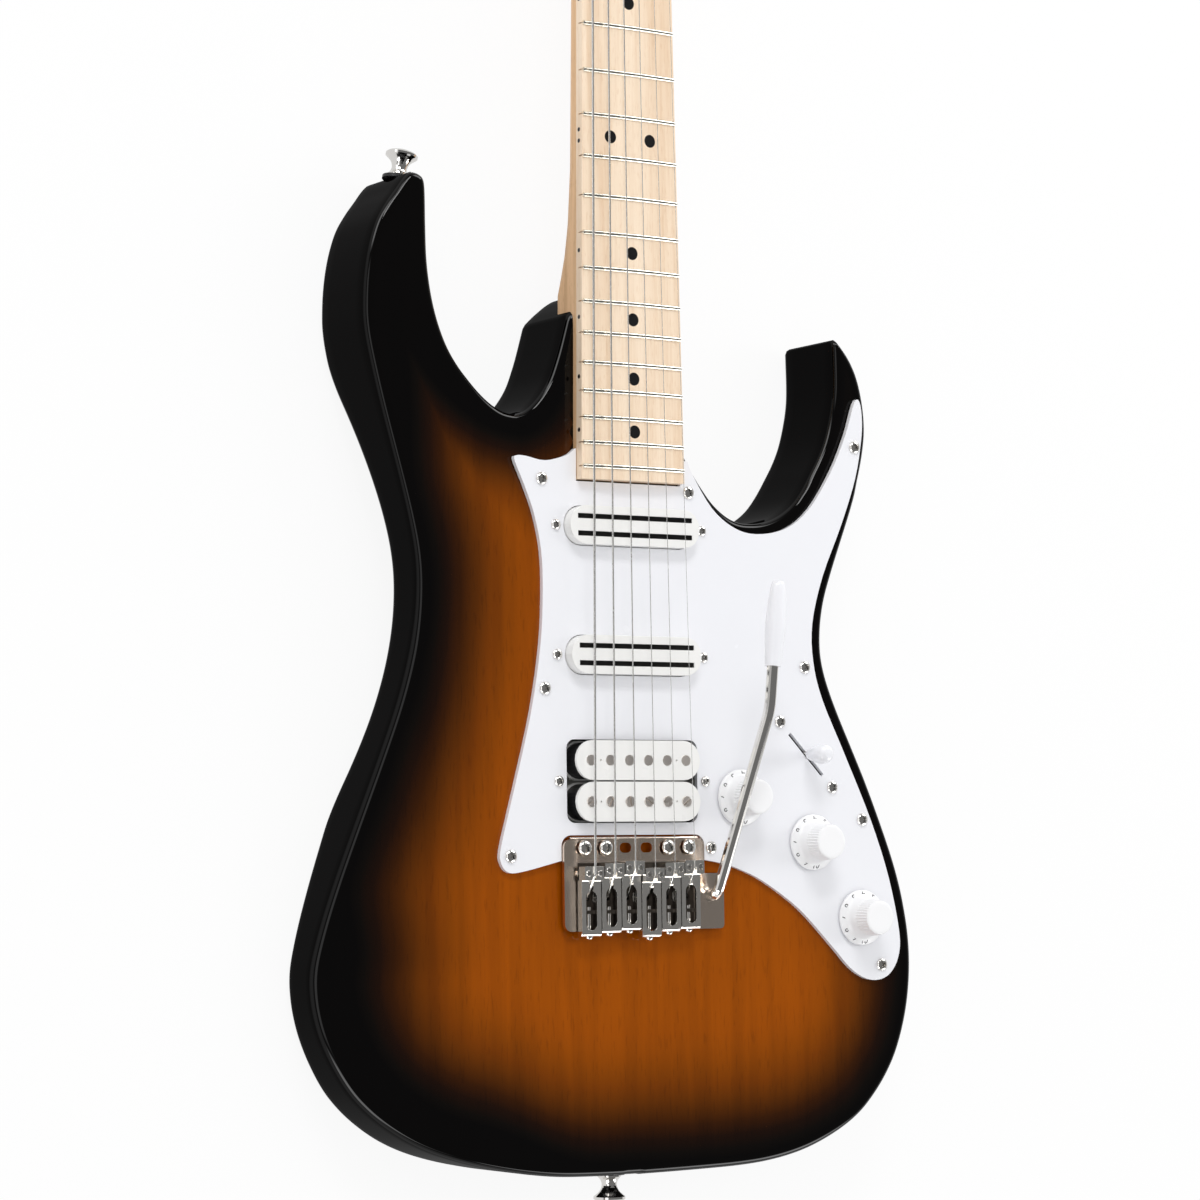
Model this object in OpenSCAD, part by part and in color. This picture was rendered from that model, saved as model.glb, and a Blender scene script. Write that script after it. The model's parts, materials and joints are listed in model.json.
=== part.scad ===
// Solid-body electric guitar with a pivoting tremolo bridge, lying on its back.
// X runs to the treble side, Y to the headstock, Z out of the face.
// The origin is on the back of the body, on the centre line, under the saddle line.

/* [Body] */
// Thickness of the body
body_t = 44; // [40:0.5:52]
// Radius of the rounded front edge
front_round = 3.5; // [2:0.25:4.5]
// Radius of the rounded back edge
back_round = 4.5; // [2:0.25:5]
// How far the forearm contour drops at the edge of the lower bout
forearm_drop = 19; // [8:1:24]
// Depth of the belly scoop at the edge of the waist
belly_depth = 17.5; // [8:0.5:26]

/* [Pickguard] */
// Thickness of the pickguard
guard_t = 2.3; // [1.5:0.1:3]
// Gap between the pickguard and what it is cut around
guard_gap = 0.8; // [0.4:0.1:1.5]

/* [Neck] */
// Scale length, from the nut to the saddle line
scale_len = 648; // [620:1:660]
// Number of frets
fret_count = 22; // [21:1:24]
// Width at the nut
nut_w = 42; // [40:0.5:45]
// Width at the end of the fretboard
heel_w = 56; // [54:0.5:58]
// Thickness of the neck with its fretboard at the first fret
neck_t1 = 20.5; // [18:0.5:23]
// Thickness at the twelfth fret
neck_t12 = 22; // [19:0.5:24]
// Thickness of the fretboard at its centre
board_t = 6; // [5:0.5:7]
// Radius of the fretboard's curved top
board_r = 250; // [180:5:400]
// Height of the fretboard's centre over the face of the body
board_rise = 8; // [7:0.5:10]
// Depth of the neck pocket
pocket_depth = 15; // [14:0.5:17]
// Height of the fret wire
fret_h = 1; // [0.8:0.1:1.3]
// Width of the fret wire
fret_w = 2.4; // [2:0.1:2.8]

/* [Headstock] */
// Length of the headstock beyond the nut
head_len = 178; // [165:1:200]
// Thickness of the headstock
head_t = 13.5; // [12:0.5:15]
// Drop from the fretboard's top to the headstock's face
head_drop = 7.5; // [7:0.25:9]
// Distance from one tuner to the next
tuner_pitch = 24.5; // [23.5:0.25:27]
// Diameter of a string post
post_d = 6; // [5:0.25:6.5]

/* [Strings] */
// Distance between strings at the saddles
string_gap = 10.8; // [10.2:0.1:11]
// Distance between strings at the nut
nut_gap = 7; // [6.6:0.1:7.3]
// Height of the strings over the body's face at the saddles
string_rise = 11.8; // [11.8:0.1:13]

/* [Tremolo] */
// Length of the bridge plate, along the strings
plate_l = 42.3; // [40:0.1:44]
// Width of the bridge plate without its arm tab
plate_w = 76; // [74:0.5:80]
// Thickness of the bridge plate
plate_t = 2; // [1.6:0.1:2.5]
// Height at which the plate floats over the face
plate_float = 2; // [1.5:0.1:3]
// Depth of the sustain block under the plate
block_h = 35; // [30:0.5:35]
// Thickness of the sustain block
block_t = 13; // [11:0.5:14]
// Diameter of the arm's rod
arm_d = 5.4; // [4.8:0.1:6]
// Sideways swing of the arm at rest, in degrees
arm_swing = 6; // [0:1:20]
// Number of springs
spring_count = 3; // [2:1:5]

/* [Controls] */
// Diameter of a knob's skirt
knob_d = 26; // [24:0.5:28]
// Height of a knob
knob_h = 15; // [14:0.5:18]
// Diameter of a control shaft
shaft_d = 6; // [5.5:0.25:6.5]
// Diameter of a control housing
pot_d = 24; // [16:0.5:25]

/* [Output jack] */
// Diameter of the jack's bore
jack_bore = 6.4; // [6.35:0.05:6.6]

/* [Hidden] */
$fn = 48;
fit = 0.02;
face = body_t;
guard_top = face + guard_t;
board_top = face + board_rise;
pocket_z = face - pocket_depth;
end_overhang = 5.8;
function fret_y(n) = scale_len * pow(2, -n / 12);
board_end = fret_y(22) - end_overhang;
function neck_w(y) = nut_w + (heel_w - nut_w) * (scale_len - y) / (scale_len - fret_y(22));
string_z = face + string_rise;
string_d = [1.17, 0.91, 0.66, 0.43, 0.33, 0.25];
saddle_back = [2.3, 1, 0, 3.3, 1, 0];
string_x = [for (i = [0:5]) (i - 2.5) * string_gap];
nut_x = [for (i = [0:5]) (i - 2.5) * nut_gap];
nut_z = board_top + fret_h + 0.55;

// Smooth open curve through points of any dimension.
function blend(a, b, c, d, t) =
    0.5 * (2 * b + (c - a) * t + (2 * a - 5 * b + 4 * c - d) * t * t + (3 * b - a - 3 * c + d) * t * t * t);
function curve(p, n) = concat([for (i = [0:len(p) - 2], j = [0:n - 1])
    blend(p[max(i - 1, 0)], p[i], p[i + 1], p[min(i + 2, len(p) - 1)], j / n)], [p[len(p) - 1]]);
function closed_curve(p, n) = [for (i = [0:len(p) - 1], j = [0:n - 1])
    blend(p[(i + len(p) - 1) % len(p)], p[i], p[(i + 1) % len(p)], p[(i + 2) % len(p)], j / n)];
function arc(x, y, r, a0, a1, n) = [for (i = [0:n]) let (a = a0 + (a1 - a0) * i / n) [x + r * cos(a),
    y + r * sin(a)]];
function box_outline(w, h, r) = concat(arc(w / 2 - r, h / 2 - r, r, 0, 90, 6), arc(r - w / 2, h / 2 - r,
    r, 90, 180, 6),
    arc(r - w / 2, r - h / 2, r, 180, 270, 6), arc(w / 2 - r, r - h / 2, r, 270, 360, 6));

// Plan of the body, anticlockwise. The third number limits how far the rounded edge reaches in.
bottom_and_treble = [[0, -138, 9], [43, -137.5, 9], [73, -136, 9], [98, -131, 9], [121, -121, 9], [136,
    -109, 9],
    [149, -91, 9], [157, -68, 9], [159.5, -44, 9], [157, -21, 9], [150, 4, 9], [135, 40, 9], [120, 71, 9],
    [112, 91, 9], [110, 107, 9], [113, 126, 9], [122, 150, 9], [130, 170, 9], [136, 189, 9], [139, 206, 9],
    [138, 221, 6], [134.5, 234, 4.5], [129, 243.5, 2.5], [122.5, 250.5, 1]];
treble_cutaway = [[120.8, 249.5, 1], [121, 238, 3.5], [120.5, 222, 6], [115.5, 202, 9], [107, 186, 9],
    [96, 171, 9],
    [83, 162.5, 9], [70, 160, 9], [59, 162, 9], [48, 170, 9], [38, 183.5, 9], [32, 195, 9], [29, 212, 9]];
heel = [[27.5, 228, 9], [24, 244, 9], [16, 257, 9], [2, 265, 9], [-14, 263.5, 9], [-29, 251.5, 4]];
bass_cutaway = [[-33, 238, 9], [-39, 222, 9], [-48, 210, 9], [-58, 204.5, 9], [-70, 208.5, 9], [-82, 219, 9],
    [-92, 232, 9], [-99, 250, 9], [-102.5, 272, 7], [-103, 300, 5]];
horn_tip = [[-104, 307.5, 4.5], [-107.5, 310.3, 4], [-112, 309.3, 4.5]];
bass_side = [[-118, 302, 6], [-127.5, 288, 9], [-133, 270, 9], [-135, 250, 9], [-133.5, 233, 9], [-126,
    203, 9],
    [-116.5, 170, 9], [-110.5, 145, 9], [-109, 124, 9], [-111.5, 99, 9], [-118.5, 70, 9], [-132, 30, 9],
    [-144, -5, 9], [-152, -33, 9], [-154, -51, 9], [-149.5, -73, 9], [-137, -97, 9], [-119, -114, 9],
    [-98, -125, 9], [-70, -132.5, 9], [-38, -137, 9], [0, -138, 9]];
body_plan = concat(curve(bottom_and_treble, 2), curve(concat(treble_cutaway, heel), 2),
    curve(concat(bass_cutaway, horn_tip, bass_side), 2));
plan_n = len(body_plan) - 1;
function flat(p) = [p[0], p[1]];
function side(i) = let (a = flat(body_plan[(i + plan_n - 1) % plan_n]), b = flat(body_plan[(i + 1) % plan_n]),
    t = (b - a) / norm(b - a)) [-t[1], t[0]];
function ring(z, inset, round) = [for (i = [0:plan_n - 1]) let (p = body_plan[i],
    q = flat(p) + side(i) * inset * min(1, p[2] / round / 1.2)) [q[0], q[1], z]];
round_steps = 3;
body_rings = concat([ring(-1, back_round, back_round)],
    [for (k = [0:round_steps]) let (a = 90 - 90 * k / round_steps)
        ring(back_round * (1 - sin(a)), back_round * (1 - cos(a)), back_round)],
    [for (k = [0:round_steps]) let (a = 90 * k / round_steps)
        ring(face - front_round * (1 - sin(a)), front_round * (1 - cos(a)), front_round)],
    [ring(face + 1, front_round, front_round)]);
ring_n = len(body_rings);

// Places of the pickups, bridge and controls on the face.
single_y = [155, 96.4];
single_w = 70.5;
single_l = 17.6;
single_top = face + 7.8;
pickup_screw_x = 39.8;
humbucker_y = 39.4;
humbucker_w = 71;
humbucker_l = 37.6;
bobbin_w = 67;
bobbin_l = 18;
bobbin_top = face + 7.6;
pole_gap = 10.3;
pickup_depth = 20;
pivot_y = 9.3;
pivot_gap = 11.3;
pivot_x = [-2.5, -1.5, 1.5, 2.5] * pivot_gap;
plate_z = face + plate_float;
plate_top = plate_z + plate_t;
plate_front = 14.3;
plate_back = plate_front - plate_l;
tab_right = 48.2;
tab_front = -2.7;
pivot_z = plate_z + plate_t / 2;
block_y = -13;
block_x = [-33, 46];
arm_x = 40.5;
block_z = plate_z - block_h;
slot_x = [-35, 47.4];
slot_y = [-26, -3];
spring_x = [-42, 49];
spring_y = [-31, 110];
spring_depth = 17;
cover_t = 1.8;
cover_margin = 6;
knob_at = [[59.3, 32], [100, 11], [127.5, -24.6]];
switch_at = [97.5, 52];
switch_a = -46;
switch_slot = 27;
switch_screw_gap = 42.5;
control_depth = 32;
jack_at = [154.3, -76];
jack_a = -22;
jack_z = body_t / 2;
plate_recess = 2;
strap_at = [[-106.3, 309.2], [0, -137.4]];
strap_a = [78, -90];
strap_z = body_t / 2;

guard_left = [[-28.9, 190], [-34, 186.5], [-45, 183.8], [-55, 185.3], [-60, 185.3], [-61, 183], [-56,
    172], [-51, 159],
    [-47.6, 143], [-47, 125], [-48.5, 101], [-54, 70], [-63.5, 35], [-70.5, 10], [-70.5, 3], [-66.5, -1.3],
    [-58, -0.7], [-39.2, 3.6]];
guard_right = [[38.8, 3.4], [49, 1.6], [58, -1], [72, -7], [92, -20], [110, -37], [121, -48], [130, -53.2],
    [138, -54], [144.8, -51], [149.6, -43.5], [150.5, -32], [144.8, -6], [134.9, 21], [120.8, 51],
    [107.6, 78], [102.7, 96], [102.6, 114], [109, 136], [121, 162], [129.5, 184], [133.5, 203], [134, 214], [132.5, 221], [129.5,
        219.5],
    [124, 204], [115, 186], [102, 168], [88, 158], [71, 154.8], [58, 157.5], [46, 166], [35.5, 181],
        [32.8, 187]];
guard_screw_at = [[-47, 175.5], [32.8, 172.5], [129, 198.5], [97.5, 93], [129.5, 21.5], [139.5, -47],
    [42.5, 9], [-65.5, 6], [-46.5, 81]];

// A bar from one point to another.
module rod(a, b, d) {
    v = b - a;
    translate(a) rotate([0, acos(v[2] / norm(v)), atan2(v[1], v[0])]) cylinder(d = d, h = norm(v));
}
module slab(z, t) translate([0, 0, z]) linear_extrude(t) children();
module block(low, high) translate(low) cube(high - low);
// Countersunk screw pointing down from its head, with a cross recess.
module screw(head_d, head_h, d, l) {
    difference() {
        union() {
            cylinder(d1 = head_d, d2 = head_d * 0.55, h = head_h);
            translate([0, 0, -l]) cylinder(d = d, h = l + 0.01);
        }
        for (a = [0, 90]) rotate(a) translate([-head_d * 0.28, -head_d * 0.06, head_h * 0.35])
            cube([head_d * 0.56, head_d * 0.12, head_h]);
    }
}

panel_d = 3;
panel_head = 6;
panel_head_h = 1.9;
panel_l = 11;
module cut_screw(x, y, z, d, l) translate([x, y, z - l]) cylinder(d = d + 2 * fit, h = l + 1);

module neck_plan(gap, y0, y1) {
    polygon([for (s = [[-1, y0], [1, y0], [1, y1], [-1, y1]]) [s[0] * (neck_w(s[1]) / 2 + gap), s[1]]]);
}

bolt_at = [[-17, 190], [17, 184], [-15, 236], [12, 232]];
bolt_d = 4.5;
bolt_l = 40;
ferrule_d = 14;
ferrule_t = 3;
ferrule_lift = 0.5;
// The rounded outline runs past both faces, and a slab cuts them flat.
module body_blank() intersection() {
    slab(0, body_t) square(1000, center = true);
    polyhedron(points = [for (r = body_rings) each r], faces = concat(
        [[for (i = [0:plan_n - 1]) i]],
        [for (k = [0:ring_n - 2], i = [0:plan_n - 1]) let (j = (i + 1) % plan_n)
            [k * plan_n + i, (k + 1) * plan_n + i, (k + 1) * plan_n + j, k * plan_n + j]],
        [[for (i = [plan_n - 1:-1:0]) (ring_n - 1) * plan_n + i]]), convexity = 10);
}
module body_wood() difference() {
    body_blank();
    forearm_cut();
    belly_cut();
    slab(pocket_z, face) neck_plan(0.15, board_end - 0.3, board_end + 110);
    slab(face - pickup_depth, face) {
        for (y = single_y) translate([0, y]) polygon(box_outline(90, 22, 6));
        translate([0, humbucker_y]) polygon(box_outline(92, 41, 8));
        translate([46, 93]) square([12, 124], center = true);
    }
    slab(face - control_depth, face) {
        polygon(closed_curve([[42, 44], [66, 50], [84, 70], [98, 74], [110, 62], [126, 30], [140, -4],
            [145, -32],
            [138, -44], [124, -40], [104, -18], [82, 2], [60, 8], [42, 24]], 3));
        for (p = knob_at) translate(p) circle(d = pot_d + 11);
        translate(switch_at) rotate(switch_a) square([52, 16], center = true);
    }
    slab(-1, face + 2) translate([(slot_x[0] + slot_x[1]) / 2, (slot_y[0] + slot_y[1]) / 2])
        polygon(box_outline(slot_x[1] - slot_x[0], slot_y[1] - slot_y[0], 2));
    slab(-1, spring_depth + 1) cavity_outline(0);
    slab(-1, cover_t + 1) cavity_outline(cover_margin);
    for (p = cover_screws) translate([p[0], p[1], cover_t]) cylinder(d = panel_d + 2 * fit, h = panel_l);
    for (x = pivot_x) cut_screw(x, pivot_y, face, pivot_d, pivot_l);
    for (p = guard_screw_at) cut_screw(p[0], p[1], face, panel_d, panel_l);
    for (p = bolt_at) translate([p[0], p[1], -1]) {
        cylinder(d = bolt_d + 0.6, h = pocket_z + 2);
        cylinder(d = ferrule_d + 2 * fit, h = ferrule_t + ferrule_lift + 1);
    }
    for (x = claw_screw_x) translate([x, spring_y[1] - 1, spring_mid]) rotate([-90, 0, 0])
        cylinder(d = claw_screw_d + 2 * fit, h = 22);
    at_jack() {
        translate([-plate_recess, -22, -12]) cube([30, 44, 24]);
        translate([-30, 0, 0]) rotate([0, 90, 0]) cylinder(d = 22, h = 30);
        for (y = [-1, 1]) translate([-12, y * jack_screw_y, 0]) rotate([0, 90, 0])
            cylinder(d = panel_d + 2 * fit, h = 12);
    }
    for (i = [0, 1]) at_strap(i) translate([0, 0, -strap_screw_l]) cylinder(d = strap_screw_d + 2 * fit,
        h = strap_screw_l + 9);
    for (i = [0, 1]) at_strap(i) translate([0, 0, 0.3]) cylinder(d = 16, h = 8);
}
// The body is two boards glued edge to edge, a little to the treble side of the middle.
glue_x = 6;
module body_bass_half() color([0.55, 0.27, 0.05]) intersection() {
    body_wood();
    block([-200, -200, -20], [glue_x, 400, 80]);
}
module body_treble_half() color([0.55, 0.27, 0.05]) intersection() {
    body_wood();
    block([glue_x, -200, -20], [200, 400, 80]);
}
module cavity_outline(margin) translate([(spring_x[0] + spring_x[1]) / 2, (spring_y[0] + spring_y[1]) / 2])
    polygon(box_outline(spring_x[1] - spring_x[0] + 2 * margin, spring_y[1] - spring_y[0] + 2 * margin,
        4 + margin / 2));
cover_screws = [for (x = [spring_x[0] - 2.5, spring_x[1] + 2.5], y = [spring_y[0] + 12, 40,
    spring_y[1] - 12]) [x, y]];
// A sloping plane takes the bass side of the lower bout down for the forearm.
forearm_line = [[-104, 128], [-88, -130]];
forearm_reach = 58;
module forearm_cut() {
    run = forearm_line[1] - forearm_line[0];
    translate([forearm_line[0][0], forearm_line[0][1], face]) rotate(atan2(run[1], run[0]))
        rotate([atan(forearm_drop / forearm_reach), 0, 0]) translate([-60, -120, 0]) cube([360, 120, 60]);
}
belly_r = 200;
belly_y = 125;
belly_tilt = 24;
module belly_cut() translate([-110, belly_y, belly_depth]) rotate([0, 90 + belly_tilt, 0])
    translate([belly_r, 0, -60]) cylinder(r = belly_r, h = 130, $fn = 96);
pivot_d = 3.5;
pivot_l = 24;
pivot_head_d = 7;
pivot_head_h = 2.2;
pivot_lift = 1.2;
jack_screw_y = 15;
module at_jack() translate([jack_at[0], jack_at[1], jack_z]) rotate(jack_a) children();
strap_screw_d = 4;
strap_screw_l = 26;
module at_strap(i) translate([strap_at[i][0], strap_at[i][1], strap_z]) rotate(strap_a[i]) rotate([0, 90,
    0]) children();

module pickguard() color("white") difference() {
    slab(face, guard_t) polygon(concat(curve(guard_left, 4), curve(guard_right, 4)));
    slab(face - 1, guard_t + 2) neck_plan(0.4, board_end - guard_gap, board_end + 90);
    for (y = single_y) slab(face - 1, guard_t + 2) translate([0, y])
        polygon(box_outline(single_w + 2 * guard_fit, single_l + 2 * guard_fit, single_l / 2));
    slab(face - 1, guard_t + 2) translate([0, humbucker_y]) polygon(box_outline(humbucker_w, humbucker_l, 4));
    slab(face - 1, guard_t + 2) translate([0, plate_front - 30 + guard_gap])
        polygon(box_outline(plate_w + 2 * guard_gap, 60, 5));
    for (p = guard_screw_at) translate([p[0], p[1], face - 1]) cylinder(d = panel_d + 2 * fit, h = 9);
    for (x = [-1, 1] * pickup_screw_x, y = concat(single_y, [humbucker_y])) translate([x, y, face - 1])
        cylinder(d = pickup_screw_d + 2 * fit, h = 9);
    for (p = knob_at) translate([p[0], p[1], face - 1]) cylinder(d = bush_d + 2 * fit, h = 9);
    at_switch() {
        translate([-switch_slot / 2, -0.9, -1]) cube([switch_slot, 1.8, 9]);
        for (x = [-1, 1] * switch_screw_gap / 2) translate([x, 0, -1]) cylinder(d = 3 + 2 * fit, h = 9);
    }
}
guard_fit = 0.3;
pickup_screw_d = 2.6;
bush_d = 8.2;
module at_switch() translate([switch_at[0], switch_at[1], face]) rotate(switch_a) children();

module guard_screws() color("silver") for (p = guard_screw_at) translate([p[0], p[1], guard_top])
    screw(panel_head, panel_head_h, panel_d, panel_l - 1);

// A neck section: half width, level of its flat top, depth below it, and squareness of its back.
function neck_ring(y, half, top, depth, square) = [for (i = [0:16]) let (a = 360 - 180 * i / 16,
    c = cos(a), s = sin(a), p = 2 / square)
    [half * sign(c) * pow(abs(c), p), y, top + depth * sign(s) * pow(abs(s), p)]];
function neck_depth(y) = neck_t1 + (neck_t12 - neck_t1) * (fret_y(1) - y) / (fret_y(1) - fret_y(12))
    - board_t;
neck_side_z = board_top - board_t;
function neck_section(y, depth, square) = neck_ring(y, neck_w(y) / 2, neck_side_z, depth, square);
heel_depth = neck_side_z - pocket_z;
heel_y = 262;
head_face = board_top - head_drop;
module neck() color([0.87, 0.71, 0.5]) difference() {
    union() {
        loft([neck_section(board_end, heel_depth, 30), neck_section(heel_y, heel_depth, 30),
            neck_section(heel_y + 8, heel_depth - 0.2, 9), neck_section(heel_y + 18, heel_depth - 0.6, 5),
            neck_section(heel_y + 32, neck_depth(300), 3.4), neck_section(320, neck_depth(320), 2.6),
            neck_section(400, neck_depth(400), 2.3), neck_section(500, neck_depth(500), 2.3),
            neck_section(600, neck_depth(600), 2.3), neck_section(scale_len - 6, neck_depth(642), 2.5),
            neck_ring(scale_len + 3, nut_w / 2, neck_side_z, 14, 3),
            neck_ring(scale_len + 3.4, nut_w / 2 + 0.1, head_face, 12.6, 3),
            neck_ring(scale_len + 13, nut_w / 2 + 0.6, head_face, head_t, 7)]);
        slab(head_face - head_t, head_t) head_plan();
    }
    slab(neck_side_z, 20) polygon([[-60, scale_len + 3], [60, scale_len + 3], [60, 900], [-60, 900]]);
    for (p = bolt_at) translate([p[0], p[1], pocket_z - 1]) cylinder(d = bolt_d + 2 * fit, h = 15);
    translate([0, board_end + 10, neck_side_z - rod_d / 2 - 0.1]) rotate([-90, 0, 0])
        cylinder(d = rod_d + 2 * fit, h = scale_len - board_end + 6);
    translate([-rod_d / 2 - fit, board_end + 10, neck_side_z - rod_d / 2 - 0.1])
        cube([rod_d + 2 * fit, scale_len - board_end + 6, rod_d]);
    translate([-4, scale_len + 4, head_face - 4.5]) cube([8, 18, 12]);
    for (i = [0:5]) translate([tuner_x(i), tuner_y(i), head_face - head_t - 1])
        cylinder(d = bush_hole_d + 2 * fit, h = head_t + 2);
    for (i = [0:5]) at_tuner(i) translate([tuner_screw_at[0], tuner_screw_at[1], -1])
        cylinder(d = head_screw_d + 2 * fit, h = 8);
    for (p = concat(tree_at, rod_screw_at)) translate([p[0], p[1], head_face - 7])
        cylinder(d = head_screw_d + 2 * fit, h = 8);
}
// Skin over sections that have the same number of points.
module loft(sections) {
    n = len(sections[0]);
    m = len(sections);
    polyhedron(points = [for (s = sections) each s], faces = concat([[for (i = [0:n - 1]) i]],
        [for (k = [0:m - 2], i = [0:n - 1]) let (j = (i + 1) % n)
            each [[k * n + i, (k + 1) * n + i, (k + 1) * n + j], [k * n + i, (k + 1) * n + j, k * n + j]]],
        [[for (i = [n - 1:-1:0]) (m - 1) * n + i]]), convexity = 6);
}
// Round bar along a row of points. The axis given is never along the bar.
function unit(v) = v / norm(v);
function heading(p, k) = unit(p[min(k + 1, len(p) - 1)] - p[max(k - 1, 0)]);
module tube(p, d, n, axis) loft([for (k = [0:len(p) - 1])
    let (u = unit(cross(heading(p, k), axis)), v = cross(heading(p, k), u))
        [for (i = [0:n - 1]) p[k] + d / 2 * (u * cos(360 * i / n) + v * sin(360 * i / n))]]);
rod_d = 6;
bush_hole_d = 10;
// Each post stands just outside its string's straight line from saddle to nut.
function string_at(i, y) = string_x[i] + (nut_x[i] - string_x[i]) * y / scale_len;
function tuner_y(i) = scale_len + 34 + i * tuner_pitch;
function tuner_x(i) = string_at(i, tuner_y(i)) - post_d / 2 - string_d[i] / 2 - 0.3;
head_lean = atan2(tuner_x(5) - tuner_x(0), tuner_y(5) - tuner_y(0));
head_back = head_face - head_t;
module at_tuner(i) translate([tuner_x(i), tuner_y(i), head_back]) rotate(-head_lean) children();
head_screw_d = 2;
tuner_screw_at = [10.9, -5.5];
tree_at = [[1.2, scale_len + 84], [14.2, scale_len + 60]];
rod_screw_at = [[0, scale_len + 26.5]];
module head_plan() polygon(concat([[-nut_w / 2 - 0.4, scale_len + 12]], curve([[nut_w / 2 + 0.4,
    scale_len + 12],
    [23.5, scale_len + 24], [28.5, scale_len + 38], [31.5, scale_len + 58], [32, scale_len + 92],
    [31, scale_len + 128], [28.5, scale_len + 154], [22, scale_len + head_len - 7], [12,
        scale_len + head_len],
    [3.5, scale_len + head_len - 5], [-1, scale_len + 158], [-12, scale_len + 114], [-24, scale_len + 68],
    [-33.5, scale_len + 33], [-32, scale_len + 21], [-24, scale_len + 13.5]], 4)));

module fretboard() color([0.95, 0.83, 0.66]) difference() {
    intersection() {
        slab(neck_side_z, board_t) neck_plan(0, board_end, scale_len - nut_l / 2);
        translate([0, board_end - 1, board_top - board_r]) rotate([-90, 0, 0]) cylinder(r = board_r,
            h = 500, $fn = 180);
    }
    for (p = dot_at) translate([p[0], p[1], board_top - dot_depth]) cylinder(d = dot_d + 2 * fit, h = 9);
    for (p = side_dot_at) translate(p) rotate([0, 90, 0]) cylinder(d = 2 + 2 * fit, h = 8, center = true);
    for (n = [1:fret_count]) translate([-40, fret_y(n) - tang_w / 2, board_top - tang_h]) cube([80,
        tang_w, tang_h + 3]);
}
nut_l = 3.2;
dot_d = 6;
dot_depth = 2.4;
tang_w = 0.6;
tang_h = 4;
function fret_mid(n) = (fret_y(n) + fret_y(n - 1)) / 2;
dot_at = concat([for (n = [3, 5, 7, 9, 15, 17, 19, 21]) [0, fret_mid(n)]], [for (x = [-1, 1] * 10.8) [x,
    fret_mid(12)]]);
side_dot_at = concat([for (n = [3, 5, 7, 9, 15, 17, 19, 21]) [-neck_w(fret_mid(n)) / 2, fret_mid(n),
    neck_side_z + 2.2]],
    [for (s = [-1, 1] * 2.6) [-neck_w(fret_mid(12)) / 2, fret_mid(12) + s, neck_side_z + 2.2]]);
module inlay_dots() color([0.06, 0.06, 0.06]) {
    intersection() {
        for (p = dot_at) translate([p[0], p[1], board_top - dot_depth]) cylinder(d = dot_d, h = 3);
        translate([0, board_end - 1, board_top - board_r]) rotate([-90, 0, 0]) cylinder(r = board_r,
            h = 500, $fn = 180);
    }
    intersection() {
        for (p = side_dot_at) translate(p) rotate([0, 90, 0]) cylinder(d = 2, h = 8, center = true);
        slab(neck_side_z, board_t) neck_plan(0, board_end, scale_len);
    }
}
module frets() color("silver") for (n = [1:fret_count]) intersection() {
    union() {
        translate([0, fret_y(n) - fret_w / 2, board_top - board_r]) rotate([-90, 0, 0]) difference() {
            cylinder(r = board_r + fret_h, h = fret_w, $fn = 180);
            translate([0, 0, -1]) cylinder(r = board_r, h = 9, $fn = 180);
        }
        intersection() {
            translate([-40, fret_y(n) - tang_w / 2 + fit, board_top - tang_h + fit]) cube([80,
                tang_w - 2 * fit, 9]);
            translate([0, board_end - 1, board_top - board_r]) rotate([-90, 0, 0])
                cylinder(r = board_r + fret_h / 3, h = 500, $fn = 180);
        }
    }
    slab(board_top - 5, 9) polygon([for (s = [[-1, -1], [1, -1], [1, 1], [-1, 1]])
        [s[0] * (neck_w(fret_y(n)) / 2 - 0.5), fret_y(n) + s[1] * 3]]);
    translate([0, fret_y(n), board_top - 6]) rotate([0, 90, 0]) translate([0, 0, -40]) cylinder(r = 7.1,
        h = 80);
}
slot_fit = 0.12;
module nut() color([0.93, 0.92, 0.86]) difference() {
    translate([-nut_w / 2, scale_len - nut_l / 2, neck_side_z]) cube([nut_w, nut_l,
        nut_z + 0.3 - neck_side_z]);
    for (i = [0:5]) translate([nut_x[i], scale_len - nut_l, nut_z]) rotate([-90, 0, 0]) {
        cylinder(d = string_d[i] + 2 * slot_fit, h = 2 * nut_l);
        translate([-string_d[i] / 2 - slot_fit, -3, 0]) cube([string_d[i] + 2 * slot_fit, 3, 2 * nut_l]);
    }
}
module truss_rod() color("dimgray") translate([0, board_end + 12, neck_side_z - rod_d / 2 - 0.1]) rotate([-90, 0, 0]) {
    cylinder(d = rod_d, h = scale_len - board_end - 12);
    translate([0, 0, scale_len - board_end - 12]) difference() {
        cylinder(d = 5.6, h = 3.5);
        translate([0, 0, 1]) cylinder(d = 3.6, h = 9, $fn = 6);
    }
}
module truss_rod_cover() color([0.08, 0.08, 0.08]) difference() {
    slab(head_face, 1.6) polygon(concat([[-7.5, scale_len + 3.6], [7.5, scale_len + 3.6]],
        arc(0, scale_len + 25, 4.6, 10, 170, 12)));
    for (p = rod_screw_at) translate([p[0], p[1], head_face - 1]) cylinder(d = head_screw_d + 2 * fit, h = 8);
}
module neck_bolts() color("silver") for (p = bolt_at) translate([p[0], p[1], ferrule_lift + 0.3]) mirror([0, 0, 1])
    translate([0, 0, -2.2]) screw(8.5, 2.2, bolt_d, bolt_l - 2.2);
module neck_ferrules() color("silver") for (p = bolt_at) translate([p[0], p[1], ferrule_lift]) difference() {
    cylinder(d = ferrule_d, h = ferrule_t);
    translate([0, 0, -1]) cylinder(d = bolt_d + 0.6, h = 9);
    translate([0, 0, -1]) cylinder(d = 9.2, h = 3.5);
}

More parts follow.
